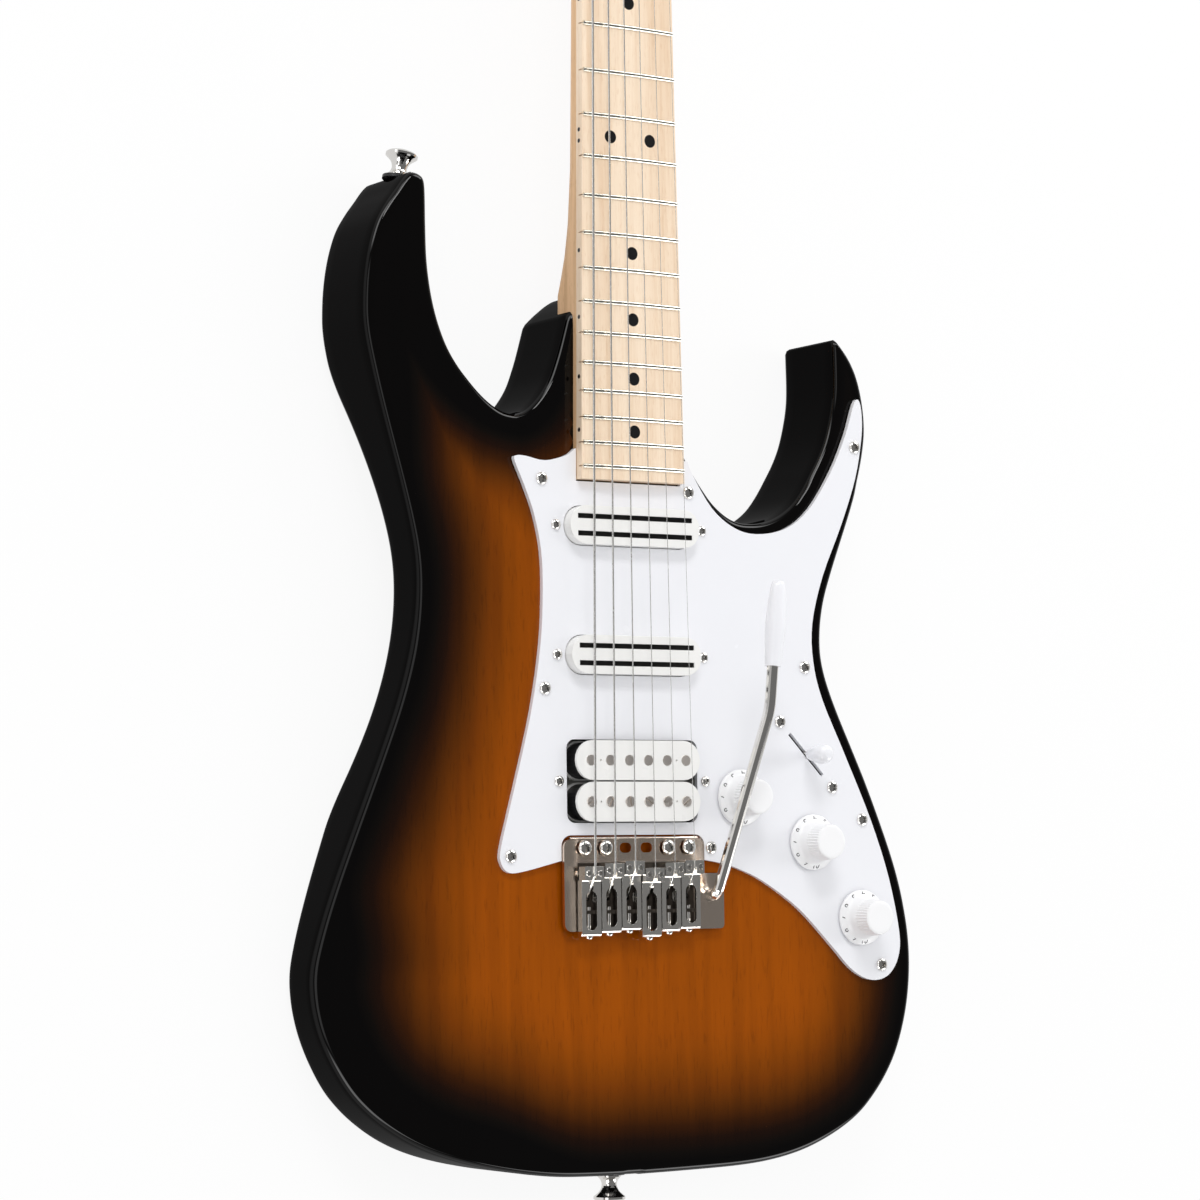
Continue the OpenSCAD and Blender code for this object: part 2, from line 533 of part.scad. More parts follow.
blade_gap = 7.9;
blade_w = 1.9;
blade_l = 61.6;
ear_z = face - 6;
ear_t = 2;
module single_cover(y) color("white") translate([0, y, 0]) difference() {
    union() {
        slab(face - 9, single_top - face + 9) polygon(box_outline(single_w, single_l, single_l / 2 - 0.1));
        slab(ear_z, ear_t) polygon(box_outline(86, 12, 5));
    }
    slab(face - 10, single_top - face + 8.7) polygon(box_outline(single_w - 2.6, single_l - 2.6,
        single_l / 2 - 1.4));
    for (s = [-1, 1] * blade_gap / 2) translate([-blade_l / 2 - 0.3, s - blade_w / 2 - 0.2, face])
        cube([blade_l + 0.6, blade_w + 0.4, 20]);
    for (x = [-1, 1] * pickup_screw_x) translate([x, 0, ear_z - 1]) cylinder(d = pickup_screw_d + 2 * fit,
        h = 9);
}
module single_pickup_covers() for (y = single_y) single_cover(y);
module pickup_blades() color([0.07, 0.07, 0.07]) for (y = single_y, s = [-1, 1] * blade_gap / 2)
    translate([-blade_l / 2, y + s - blade_w / 2, face - 8.5]) cube([blade_l, blade_w,
        single_top - face + 8.4]);
coil_z = face - 8;
bobbin_y = [humbucker_y - bobbin_l / 2 - 0.35, humbucker_y + bobbin_l / 2 + 0.35];
bobbin_z = face - 6.5;
flange_t = 1.6;
module pickup_coils() color([0.12, 0.1, 0.09]) {
    for (y = single_y, s = [-1, 1]) intersection() {
        slab(coil_z, 13) translate([0, y + s * blade_gap / 2]) difference() {
            polygon(box_outline(66, blade_gap - 0.5, blade_gap / 2 - 0.3));
            square([blade_l + 2 * fit, blade_w + 2 * fit], center = true);
        }
        slab(coil_z - 1, 15) translate([0, y]) polygon(box_outline(single_w - 3.2, single_l - 3.2,
            single_l / 2 - 1.7));
    }
    for (y = bobbin_y) slab(bobbin_z + flange_t, bobbin_top - bobbin_z - 2 * flange_t) translate([0, y])
        difference() {
        polygon(box_outline(bobbin_w - 2, bobbin_l - 1.6, bobbin_l / 2 - 1));
        polygon(box_outline(bobbin_w - 8, bobbin_l - 8, bobbin_l / 2 - 4.2));
    }
}
module humbucker_bobbins() color([0.95, 0.94, 0.9]) for (y = bobbin_y) translate([0, y, 0]) difference() {
    union() {
        for (z = [bobbin_z, bobbin_top - flange_t]) slab(z, flange_t)
            polygon(box_outline(bobbin_w, bobbin_l, bobbin_l / 2 - 0.1));
        slab(bobbin_z, bobbin_top - bobbin_z) polygon(box_outline(bobbin_w - 8, bobbin_l - 8,
            bobbin_l / 2 - 4.2));
    }
    for (i = [0:5]) translate([(i - 2.5) * pole_gap, 0, bobbin_z - 1]) cylinder(d = pole_d + 2 * fit, h = 30);
    for (s = [-1, 1] * 2 * pole_gap) translate([s, 0, bobbin_top - 1]) cylinder(d = 1, h = 3);
}
pole_d = 4.8;
module humbucker_baseplate() color("silver") difference() {
    union() {
        slab(bobbin_z - 1.2, 1.2) translate([0, humbucker_y]) polygon(box_outline(69, 37, 3));
        slab(bobbin_z - 1.2, 1.2) translate([0, humbucker_y]) polygon(box_outline(88, 13, 4));
    }
    for (x = [-1, 1] * pickup_screw_x) translate([x, humbucker_y, bobbin_z - 3])
        cylinder(d = pickup_screw_d + 2 * fit, h = 9);
    for (i = [0:5]) translate([(i - 2.5) * pole_gap, bobbin_y[0], bobbin_z - 3]) cylinder(d = 3.1, h = 9);
}
module humbucker_poles() {
    pole_slugs();
    pole_screws();
}
module pole_slugs() color([0.55, 0.54, 0.52]) for (i = [0:5])
    translate([(i - 2.5) * pole_gap, bobbin_y[1], bobbin_z]) cylinder(d = pole_d,
        h = bobbin_top - bobbin_z + 0.2);
module pole_screws() color("silver") for (i = [0:5]) translate([(i - 2.5) * pole_gap, bobbin_y[0], 0]) difference() {
    union() {
        translate([0, 0, bobbin_top - 2]) cylinder(d = pole_d, h = 2.6);
        translate([0, 0, bobbin_z - 6]) cylinder(d = 3, h = bobbin_top - bobbin_z + 5);
    }
    rotate(20 + 40 * i) translate([-3, -0.4, bobbin_top - 0.3]) cube([6, 0.8, 3]);
}
module pickup_screws() color("silver") for (x = [-1, 1] * pickup_screw_x, y = concat(single_y, [humbucker_y]))
    translate([x, y, guard_top]) screw(5, 1.8, pickup_screw_d, 18);

// The plate rocks on its rounded front edge.
pivot_line = plate_front - plate_t / 2;
plate_corner = 3.5;
module bridge_plate() color("silver") difference() {
    union() {
        slab(plate_z, plate_t) union() {
            translate([-0.5, (pivot_line + plate_back) / 2])
                polygon(box_outline(plate_w, pivot_line - plate_back, plate_corner));
            translate([(tab_right + 20) / 2, (tab_front + plate_back) / 2])
                polygon(box_outline(tab_right - 20, tab_front - plate_back, 2));
        }
        rod([-0.5 - plate_w / 2 + plate_corner, pivot_line, pivot_z],
            [-0.5 + plate_w / 2 - plate_corner, pivot_line, pivot_z], plate_t - 0.02);
        for (x = string_x) block([x - tab_w / 2, tab_y, plate_top - 0.5], [x + tab_w / 2, tab_y + tab_t,
            plate_top + tab_h]);
    }
    for (k = [-2.5:1:2.5]) slab(plate_z - 1, 9) translate([k * pivot_gap, pivot_y])
        polygon(box_outline(6.2, 4.6, 2.2));
    for (x = string_x) translate([x, block_y, plate_z - 1]) cylinder(d = string_hole_d, h = 9);
    for (x = block_screw_x) translate([x, block_y, plate_z - 1]) {
        cylinder(d = 3 + 2 * fit, h = 9);
        translate([0, 0, plate_t - 0.6]) cylinder(d = 5.6, h = 9);
    }
    for (x = string_x) translate([x, tab_y - 1, tune_z]) rotate([-90, 0, 0])
        cylinder(d = tune_d + 2 * fit, h = 4);
    translate([arm_x, block_y, plate_z - 1]) cylinder(d = arm_d + 2 * run_gap, h = 9);
}
run_gap = 0.05;
// Each saddle straddles a tab of the plate, which its intonation screw threads into.
tab_w = 7.6;
tab_y = -20.2;
tab_t = 1.6;
tab_h = 2.8;
string_hole_d = 3;
block_screw_x = [-2, 0, 2] * string_gap;
tune_z = plate_top + 1.6;
tune_d = 2.2;
module bridge_block() color([0.6, 0.6, 0.58]) difference() {
    block([block_x[0], block_y - block_t / 2, block_z], [block_x[1], block_y + block_t / 2, plate_z]);
    for (x = string_x) translate([x, block_y, block_z - 1]) {
        cylinder(d = string_hole_d, h = block_h + 2);
        cylinder(d = ball_d + 0.4, h = ball_top - block_z + 1);
    }
    for (x = block_screw_x) translate([x, block_y, plate_z - 10]) cylinder(d = 3 + 2 * fit, h = 11);
    translate([arm_x, block_y, arm_foot_z - 0.5]) cylinder(d = arm_d + 2 * run_gap, h = 40);
    for (x = spring_x_at) translate([x, block_y - 3.5, block_z - 1]) cylinder(d = 2.2, h = 8);
}
ball_d = 3.8;
ball_top = block_z + 16;
arm_foot_z = plate_z - 22;
spring_mid = 7.4;
spring_pitch = 15.4;
spring_x_at = [for (k = [0:spring_count - 1]) (k - (spring_count - 1) / 2) * spring_pitch];
module block_screws() color("silver") for (x = block_screw_x) translate([x, block_y, plate_top - 0.6])
    difference() {
        union() {
            cylinder(d = 5.4, h = 0.9);
            translate([0, 0, -plate_t - 7]) cylinder(d = 3, h = plate_t + 7.1);
        }
        for (a = [0, 90]) rotate(a) translate([-1.5, -0.35, 0.4]) cube([3, 0.7, 2]);
    }
module bridge_screws() color("silver") for (x = pivot_x) translate([x, pivot_y, plate_top + pivot_lift])
    screw(pivot_head_d, pivot_head_h, pivot_d, pivot_l - 1 + plate_top + pivot_lift - face);

saddle_w = 10.3;
saddle_l = 31.3;
saddle_t = 1.2;
saddle_deck = plate_top + 4.3;
saddle_front = 3.3;
nose_l = 6.2;
function saddle_top(i) = string_z - string_d[i] / 2 - fit;
screw_side = 3.1;
grub_d = 2.8;
grub_back = 3.1;
function grub_y(i) = saddle_front - saddle_back[i] - grub_back;
// Angle at which each string comes up from the block to its saddle.
function string_fall(i) = atan2(string_z - plate_top - string_exit, grub_y(i) - block_y);
string_exit = 0.5;
module saddles() color("silver") for (i = [0:5]) translate([string_x[i], saddle_front - saddle_back[i], 0]) difference() {
    union() {
        block([-saddle_w / 2, -saddle_l, saddle_deck - saddle_t], [saddle_w / 2, -1, saddle_deck]);
        block([-saddle_w / 2, -nose_l, plate_top + 2.2], [saddle_w / 2, 0, saddle_top(i)]);
        for (s = [0, 1]) mirror([s, 0, 0])
            block([saddle_w / 2 - 1, -saddle_l, plate_top + 1], [saddle_w / 2, -nose_l, saddle_deck - 0.1]);
        block([-saddle_w / 2, -saddle_l, plate_top + 0.4], [saddle_w / 2, -saddle_l + saddle_t, saddle_deck]);
    }
    slab(saddle_deck - 2 * saddle_t, 9) translate([0, -19.8]) polygon(box_outline(5.8, 17.4, 2.8));
    translate([0, -grub_back, string_z]) rotate([string_fall(i), 0, 0])
        translate([-1.1, -20, -string_d[i] / 2 - slot_fit]) cube([2.2, 20.2, 10]);
    for (s = [-1, 1] * screw_side) translate([s, -grub_back, plate_top]) cylinder(d = grub_d + 2 * fit,
        h = 20);
    translate([0, -saddle_l - 1, tune_z]) rotate([-90, 0, 0]) cylinder(d = tune_d + 2 * fit, h = 18);
}
module saddle_screws() {
    height_screws();
    intonation_screws();
}
module height_screws() color("silver") for (i = [0:5], s = [-1, 1] * screw_side)
    translate([string_x[i] + s, grub_y(i), plate_top]) difference() {
        cylinder(d = grub_d, h = saddle_deck - plate_top + 3.2);
        translate([0, 0, saddle_deck - plate_top + 1.4]) cylinder(d = 1.5, h = 5, $fn = 6);
    }
function saddle_rear(i) = saddle_front - saddle_back[i] - saddle_l;
module intonation_screws() color("silver") for (i = [0:5]) translate([string_x[i], saddle_rear(i), tune_z])
    rotate([-90, 0, 0]) difference() {
    union() {
        translate([0, 0, -1.6]) cylinder(d = 3.8, h = 1.6);
        cylinder(d = tune_d, h = tab_y + tab_t + 1.5 - saddle_rear(i));
    }
    for (a = [0, 90]) rotate(a) translate([-1.1, -0.3, -2.5]) cube([2.2, 0.6, 1.6]);
}

arm_rise_z = plate_top + 0.5;
arm_bend = 7;
arm_pitch = 20.6;
arm_run = 80.6;
arm_top_bend = 26;
arm_end = 46;
tip_l = 39.5;
module arm_frame() translate([arm_x, block_y, 0]) rotate(-arm_swing) rotate([90, 0, 90]) children();
// The arm's plane: first axis forwards, second axis up. Children go from the end of each stretch.
function arm_spot(p, along, up) = p + [along * cos(arm_pitch) - up * sin(arm_pitch),
    along * sin(arm_pitch) + up * cos(arm_pitch)];
arm_low = [arm_bend - arm_bend * sin(arm_pitch), arm_rise_z + arm_bend * cos(arm_pitch)];
arm_high = arm_spot(arm_low, arm_run, -arm_top_bend);
arm_path = concat([[0, arm_rise_z - 1]], arc(arm_bend, arm_rise_z, arm_bend, 180, 90 + arm_pitch, 6),
    arc(arm_high[0], arm_high[1], arm_top_bend, 90 + arm_pitch, 90, 4), [arm_high + [arm_end, arm_top_bend]]);
module tremolo_arm() color("silver") arm_frame() {
    translate([0, arm_foot_z, 0]) rotate([-90, 0, 0]) cylinder(d = arm_d, h = arm_rise_z - arm_foot_z - 0.5);
    tube([for (p = arm_path) [p[0], p[1], 0]], arm_d - 2 * fit, 16, [0, 0, 1]);
}
module at_bend_end() translate([arm_bend - arm_bend * sin(arm_pitch),
    arm_rise_z + arm_bend * cos(arm_pitch), 0])
    rotate(arm_pitch) children();
module at_arm_end() at_bend_end() translate([arm_run, -arm_top_bend, 0]) rotate(-arm_pitch)
    translate([0, arm_top_bend, 0]) children();
module arm_tip() color("white") arm_frame() at_arm_end() translate([arm_end - 31, 0, 0]) rotate([0, 90, 0]) rotate_extrude()
    polygon(concat([[arm_d / 2 + fit, 0]], curve([[3.7, 0], [4.1, 6], [4.7, 17], [4.4, 26], [3.5, 36],
        [2.6, 38.8]], 4),
        [[0, tip_l], [0, 31 + fit], [arm_d / 2 + fit, 31 + fit]]));
claw_y = 84;
claw_screw_d = 3.6;
claw_screw_x = [-20.5, 20.5];
module tremolo_springs() color("silver") for (x = spring_x_at) {
    translate([x, 2, spring_mid]) rotate([-90, 0, 0]) difference() {
        cylinder(d = 7.4, h = 70);
        translate([0, 0, -1]) cylinder(d = 5, h = 80);
    }
    rod([x, block_y - 3.5, spring_mid], [x, 2.6, spring_mid + 3], 1.2);
    rod([x, block_y - 3.5, spring_mid - 0.4], [x, block_y - 3.5, block_z + 5], 1.2);
    rod([x, 71.4, spring_mid + 3], [x, claw_y + 3, spring_mid + 3], 1.2);
}
module spring_claw() color("silver") difference() {
    block([-29, claw_y, 3.2], [29, claw_y + 1.6, 13.4]);
    for (x = claw_screw_x) translate([x, claw_y - 1, spring_mid]) rotate([-90, 0, 0])
        cylinder(d = claw_screw_d + 2 * fit, h = 9);
    for (x = spring_x_at) translate([x, claw_y - 1, spring_mid + 3]) rotate([-90, 0, 0]) cylinder(d = 1.6,
        h = 9);
}
module claw_screws() for (x = claw_screw_x) translate([x, claw_y, spring_mid]) rotate([90, 0, 0])
    screw(7, 2.4, claw_screw_d, spring_y[1] - claw_y + 18);
module spring_cover() color([0.08, 0.08, 0.08]) difference() {
    slab(0, cover_t) cavity_outline(cover_margin - 0.4);
    for (p = cover_screws) translate([p[0], p[1], -1]) {
        cylinder(d = panel_d + 2 * fit, h = 9);
        cylinder(d = panel_head + 0.3, h = 2.2);
    }
    for (x = string_x) slab(-1, 9) translate([x, block_y - 2]) polygon(box_outline(7, 13, 3.4));
}
module cover_screw_set() for (p = cover_screws) translate([p[0], p[1], 1.2]) mirror([0, 0, 1])
    screw(5.4, 1, panel_d, panel_l);

pot_top = face - 1;
pot_h = 9;
shaft_foot = pot_top - 6;
bush_top = guard_top + 5;
nut_h = 2.2;
nut_across = 11.5;
knob_lift = 0.9;
module pot_housings() color("silver") for (p = knob_at) translate([p[0], p[1], 0]) difference() {
    union() {
        slab(pot_top - pot_h, pot_h) circle(d = pot_d);
        slab(pot_top - 1, bush_top - pot_top + 1) circle(d = bush_d - 0.2);
        slab(pot_top - 3, 1.5) translate([0, -pot_d / 2 - 1]) square([13, 5], center = true);
    }
    slab(pot_top - pot_h + 1, pot_h - 2) circle(d = pot_d - 2);
    slab(pot_top - 2, 20) circle(d = shaft_d + 2 * run_gap);
}
module hex_nuts() color("silver") {
    tuner_bushings();
    for (p = knob_at) translate([p[0], p[1], guard_top]) nut_at(nut_across, bush_d - 0.2, nut_h);
    at_jack() translate([jack_face, 0, 0]) rotate([0, 90, 0]) nut_at(12.5, jack_thread_d, 2);
}
module nut_at(across, bore, h) difference() {
    cylinder(d = across / cos(30), h = h, $fn = 6);
    translate([0, 0, -1]) cylinder(d = bore + 2 * fit, h = h + 2);
}
module shaft(k) color("silver") translate([knob_at[k][0], knob_at[k][1], 0]) {
    slab(shaft_foot, guard_top + knob_lift + knob_h - 3 - shaft_foot) circle(d = shaft_d);
    slab(shaft_foot + 0.1, 1.4) circle(d = shaft_d + 6);
}
module knob(k) color("white") translate([knob_at[k][0], knob_at[k][1], guard_top + knob_lift]) difference() {
    rotate_extrude($fn = 96) polygon(concat([[0, 0], [knob_d / 2, 0], [knob_d / 2, 0.9]],
        curve([[knob_d / 2 - 0.5, 1.5], [knob_d / 2 - 2.6, 2.4], [knob_d / 2 - 3.9, 4.2],
            [knob_d / 2 - 4.3, 6.5]], 4),
        [[knob_d / 2 - 4.6, 6.6], [knob_d / 2 - 4.9, knob_h - 0.8], [knob_d / 2 - 5.7, knob_h], [0,
            knob_h]]));
    translate([0, 0, -1]) cylinder(d = nut_across / cos(30) + 1, h = nut_h + 1.2);
    translate([0, 0, -1]) cylinder(d = bush_d + 0.6, h = bush_top - guard_top - knob_lift + 1.5);
    translate([0, 0, -1]) cylinder(d = shaft_d + 2 * fit, h = knob_h - 1.9);
}
module volume_knob() { shaft(0); knob(0); }
module upper_tone_knob() { shaft(1); knob(1); }
module lower_tone_knob() { shaft(2); knob(2); }

lever_pivot = -20;
lever_t = 1.2;
lever_w = 3.6;
lever_top = 13;
module selector_switch() color([0.75, 0.73, 0.68]) at_switch() difference() {
    union() {
        block([-24, -6, -1.6], [24, 6, 0]);
        for (s = [-1, 1]) block([-15, s * 4.6 - 0.6, -27], [15, s * 4.6 + 0.6, -1]);
        translate([0, 5.4, lever_pivot]) rotate([90, 0, 0]) cylinder(d = 3, h = 10.8);
    }
    block([-switch_slot / 2, -1.6, -2], [switch_slot / 2, 1.6, 1]);
    for (x = [-1, 1] * switch_screw_gap / 2) translate([x, 0, -3]) cylinder(d = 3 + 2 * fit, h = 9);
}
module selector_lever() color("silver") at_switch() difference() {
    union() {
        translate([0, 1.1, lever_pivot]) rotate([90, 0, 0]) cylinder(d = 7, h = 2.2);
        block([-lever_w / 2, -lever_t / 2, lever_pivot], [lever_w / 2, lever_t / 2, guard_t + lever_top]);
    }
    translate([0, 5, lever_pivot]) rotate([90, 0, 0]) cylinder(d = 3 + 2 * run_gap, h = 10);
}
tip_lift = 3.4;
module selector_tip() color("white") at_switch() difference() {
    translate([0, 0, guard_t + tip_lift]) rotate_extrude() polygon(concat([[0, 0]],
        curve([[2.6, 0], [3.3, 2.5], [4.4, 7], [4.6, 10.5], [3.8, 13.2], [2, 14.6]], 4), [[0, 15]]));
    block([-lever_w / 2 - fit, -lever_t / 2 - fit, guard_t], [lever_w / 2 + fit, lever_t / 2 + fit,
        guard_t + lever_top + fit]);
}
module switch_screw_set() at_switch() for (x = [-1, 1] * switch_screw_gap / 2) translate([x, 0, guard_t])
    screw(panel_head, panel_head_h, 3, 8);
capacitor_at = [118, -9];
capacitor_size = [14, 5, 8];
lead_z = pot_top - 6;
lead_d = 0.8;
// Each lead runs from the body of the capacitor to one of the tone controls.
leads = [[[112.8, -10.5], [108.2, -1]], [[122, -7], [123.5, -13.3]]];
module tone_capacitor() color([0.2, 0.45, 0.2]) {
    translate([capacitor_at[0], capacitor_at[1], lead_z - 0.7]) rotate(40) cube(capacitor_size,
        center = true);
    for (l = leads) rod([l[0][0], l[0][1], lead_z], [l[1][0], l[1][1], lead_z], lead_d);
}

jack_face = -0.6;
jack_thread_d = 9.4;
jack_len = 15;
module jack_plate() color([0.1, 0.1, 0.1]) at_jack() difference() {
    translate([-plate_recess, 0, 0]) rotate([0, 90, 0]) linear_extrude(plate_recess + jack_face) rotate(90)
        polygon(box_outline(42, 22, 6));
    translate([-5, 0, 0]) rotate([0, 90, 0]) cylinder(d = jack_thread_d + 2 * fit, h = 9);
    for (y = [-1, 1] * jack_screw_y) translate([-5, y, 0]) rotate([0, 90, 0])
        cylinder(d = panel_d + 2 * fit, h = 9);
}
module output_jack() color("silver") at_jack() difference() {
    union() {
        translate([jack_face + 2.8 - jack_len, 0, 0]) rotate([0, 90, 0]) cylinder(d = jack_thread_d,
            h = jack_len);
        translate([-plate_recess - 2.4, 0, 0]) rotate([0, 90, 0]) cylinder(d = 15, h = 2.4);
        block([-26, -2.5, -9], [-plate_recess - 2, 2.5, -6.5]);
    }
    translate([-30, 0, 0]) rotate([0, 90, 0]) cylinder(d = jack_bore, h = 40);
}
module jack_screw_set() at_jack() for (y = [-1, 1] * jack_screw_y) translate([jack_face, y, 0]) rotate([0,
    90, 0])
    screw(5.4, 1.4, panel_d, 10);
module panel_screws() color("silver") {
    headstock_screws();
    guard_screws();
    cover_screw_set();
    switch_screw_set();
    jack_screw_set();
}

washer_t = 1.5;
button_h = 12.5;
module strap_washers() color([0.07, 0.07, 0.07]) for (i = [0, 1]) at_strap(i) translate([0, 0, 0.3])
    difference() {
    cylinder(d = 14, h = washer_t);
    translate([0, 0, -1]) cylinder(d = strap_screw_d + 2 * fit, h = 9);
}
module strap_buttons() color("silver") for (i = [0, 1]) at_strap(i) translate([0, 0, 0.3 + washer_t]) difference() {
    rotate_extrude() polygon(concat([[0, 0], [5.4, 0]], curve([[5.4, 0.8], [4, 2.4], [3.5, 4.8], [4.6,
        7.4], [6.6, 9.2]], 3),
        [[7.3, 9.8], [7.3, 10.8], [6.6, 11.5], [4.5, button_h - 0.4], [3.8, button_h], [0, button_h]]));
    translate([0, 0, -1]) cylinder(d = strap_screw_d + 2 * fit, h = 20);
    translate([0, 0, button_h - 2]) cylinder(d = 7.4, h = 9);
}
module long_wood_screws() color("silver") {
    claw_screws();
    strap_screws();
}
module strap_screws() for (i = [0, 1]) at_strap(i) translate([0, 0, 0.3 + washer_t + button_h - 2])
    screw(7, 1.8, strap_screw_d, washer_t + button_h - 1.7 + strap_screw_l - 1);

// Tuner frame: origin on the back of the headstock at the post, -X towards the button.
case_h = 10;
worm_y = 5.3;
worm_z = -5.2;
key_d = 3.4;
module tuner_housings() color("silver") for (i = [0:5]) at_tuner(i) difference() {
    union() {
        slab(-case_h, case_h) translate([-1, 1.2]) polygon(box_outline(19, 16.4, 3));
        slab(-2, 2) polygon(box_outline(11, 11, 3));
        slab(-1.6, 1.6) translate([tuner_screw_at[0] - 0.6, tuner_screw_at[1]]) circle(d = 5);
    }
    slab(-case_h + 1.2, case_h - 2.4) translate([-1, 1.2]) polygon(box_outline(16.6, 14, 2));
    slab(-2, 9) circle(d = post_d + 2 * run_gap);
    translate([-20, worm_y, worm_z]) rotate([0, 90, 0]) cylinder(d = key_d + 2 * run_gap, h = 15);
    slab(-9, 20) translate(tuner_screw_at) circle(d = head_screw_d + 2 * fit);
}
post_top = 19;
module string_post(i) color("silver") at_tuner(i) difference() {
    union() {
        slab(-case_h + 1.3, post_top + case_h + head_t - 13.5 - 1.3) circle(d = post_d);
        slab(worm_z - 1.5, 3) circle(d = 7);
    }
    translate([0, 0, post_z]) rotate([90, 0, 0]) translate([0, 0, -9]) cylinder(d = 1.6, h = 18);
}
post_z = head_t + 3.4;
module tuner_key(i) color("silver") at_tuner(i) {
    translate([0, worm_y, worm_z]) rotate([0, -90, 0]) translate([0, 0, -5]) {
        cylinder(d = key_d, h = 26);
        translate([0, 0, 1.5]) cylinder(d = 3.4, h = 8);
    }
    translate([-21, worm_y, worm_z]) rotate([0, -90, 0]) intersection() {
        rotate_extrude() polygon(concat([[0, 0]], curve([[3, 0], [5.6, 2], [8.6, 6], [9.6, 9.5], [8.8, 13],
            [6, 15.4]], 4), [[0, 16]]));
        translate([-3.3, -20, -1]) cube([6.6, 40, 30]);
    }
}
module tuner_bushings() color("silver") for (i = [0:5]) at_tuner(i) difference() {
    union() {
        slab(head_t - 7, 7.1) circle(d = bush_hole_d);
        slab(head_t, 0.8) circle(d = 12.4);
        slab(head_t + 0.8, 1.8) circle(d = 10.5 / cos(30), $fn = 6);
    }
    slab(-2, 40) circle(d = post_d + 2 * run_gap);
}
module headstock_screws() color("silver") {
    for (i = [0:5]) at_tuner(i) translate([tuner_screw_at[0], tuner_screw_at[1], -1.6]) mirror([0, 0, 1])
        screw(3.8, 1.1, head_screw_d, 7.4);
    for (p = tree_at) translate([p[0], p[1], head_face + tree_h]) screw(3.8, 1.1, head_screw_d, tree_h + 6);
    for (p = rod_screw_at) translate([p[0], p[1], head_face + 1.6]) screw(3.8, 1.1, head_screw_d, 7);
}
tree_h = 5;
tree_half = [4.2, 6.4];
module string_trees() color("silver") for (k = [0, 1]) translate([tree_at[k][0], tree_at[k][1], head_face]) difference() {
    union() {
        cylinder(d = 3.4, h = tree_h - 1);
        translate([0, 0, tree_h - 1]) block([-tree_half[k], -2.4, 0], [tree_half[k], 2.4, 1]);
    }
    translate([0, 0, -1]) cylinder(d = head_screw_d + 2 * fit, h = 9);
}
function post_touch(i) = [tuner_x(i) + post_d / 2 + string_d[i] / 2 + 0.25, tuner_y(i), head_back + post_z];
module strings() color([0.8, 0.8, 0.78]) for (i = [0:5]) {
    ball = [string_x[i], block_y, ball_top];
    touch = [string_x[i], grub_y(i), string_z];
    translate(ball - [0, 0, 4]) cylinder(d = ball_d, h = 4);
    tree = i < 3 ? [] : [let (k = i == 3 ? 0 : 1, y = tree_at[k][1]) [string_at(i, y), y,
        head_face + tree_h - 1.2 - string_d[i] / 2]];
    tube(concat([ball - [0, 0, 1], [string_x[i], block_y, plate_top + string_exit], touch,
        [nut_x[i], scale_len, nut_z]], tree, [post_touch(i)]), string_d[i], 8, [1, 0, 0]);
}

body_bass_half();
body_treble_half();
pickguard();
panel_screws();
neck();
fretboard();
frets();
inlay_dots();
nut();
truss_rod();
truss_rod_cover();
neck_bolts();
neck_ferrules();
single_pickup_covers();
pickup_blades();
pickup_coils();
pickup_screws();
humbucker_bobbins();
humbucker_baseplate();
humbucker_poles();
bridge_plate();
bridge_block();
block_screws();
bridge_screws();
saddles();
saddle_screws();
tremolo_arm();
arm_tip();
tremolo_springs();
spring_claw();
spring_cover();
pot_housings();
hex_nuts();
volume_knob();
upper_tone_knob();
lower_tone_knob();
selector_switch();
selector_lever();
selector_tip();
tone_capacitor();
jack_plate();
output_jack();
strap_washers();
strap_buttons();
long_wood_screws();
tuner_housings();
string_trees();
strings();
tuner_key(0);  // tuner_key_1
tuner_key(1);  // tuner_key_2
tuner_key(2);  // tuner_key_3
tuner_key(3);  // tuner_key_4
tuner_key(4);  // tuner_key_5
tuner_key(5);  // tuner_key_6
string_post(0);  // string_post_1
string_post(1);  // string_post_2
string_post(2);  // string_post_3
string_post(3);  // string_post_4
string_post(4);  // string_post_5
string_post(5);  // string_post_6
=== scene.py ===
import json
import math

import bmesh
import bpy
import numpy as np
from mathutils import Matrix, Vector, geometry, kdtree


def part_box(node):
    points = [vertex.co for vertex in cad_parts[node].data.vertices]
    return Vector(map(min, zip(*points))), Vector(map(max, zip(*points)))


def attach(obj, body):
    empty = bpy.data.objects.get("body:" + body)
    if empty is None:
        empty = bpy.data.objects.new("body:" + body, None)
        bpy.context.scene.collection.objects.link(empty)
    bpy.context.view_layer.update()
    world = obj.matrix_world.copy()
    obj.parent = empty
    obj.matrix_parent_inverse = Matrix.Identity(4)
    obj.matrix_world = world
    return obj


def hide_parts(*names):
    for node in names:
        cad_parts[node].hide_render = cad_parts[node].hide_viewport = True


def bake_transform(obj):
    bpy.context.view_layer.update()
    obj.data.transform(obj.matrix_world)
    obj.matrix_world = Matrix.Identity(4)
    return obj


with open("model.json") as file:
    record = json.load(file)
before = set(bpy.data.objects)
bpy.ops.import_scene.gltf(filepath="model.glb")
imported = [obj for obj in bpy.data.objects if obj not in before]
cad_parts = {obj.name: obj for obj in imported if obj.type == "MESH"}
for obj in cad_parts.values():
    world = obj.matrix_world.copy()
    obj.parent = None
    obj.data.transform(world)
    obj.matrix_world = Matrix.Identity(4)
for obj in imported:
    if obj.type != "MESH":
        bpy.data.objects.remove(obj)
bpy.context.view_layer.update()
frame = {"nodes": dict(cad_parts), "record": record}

MM = 0.001

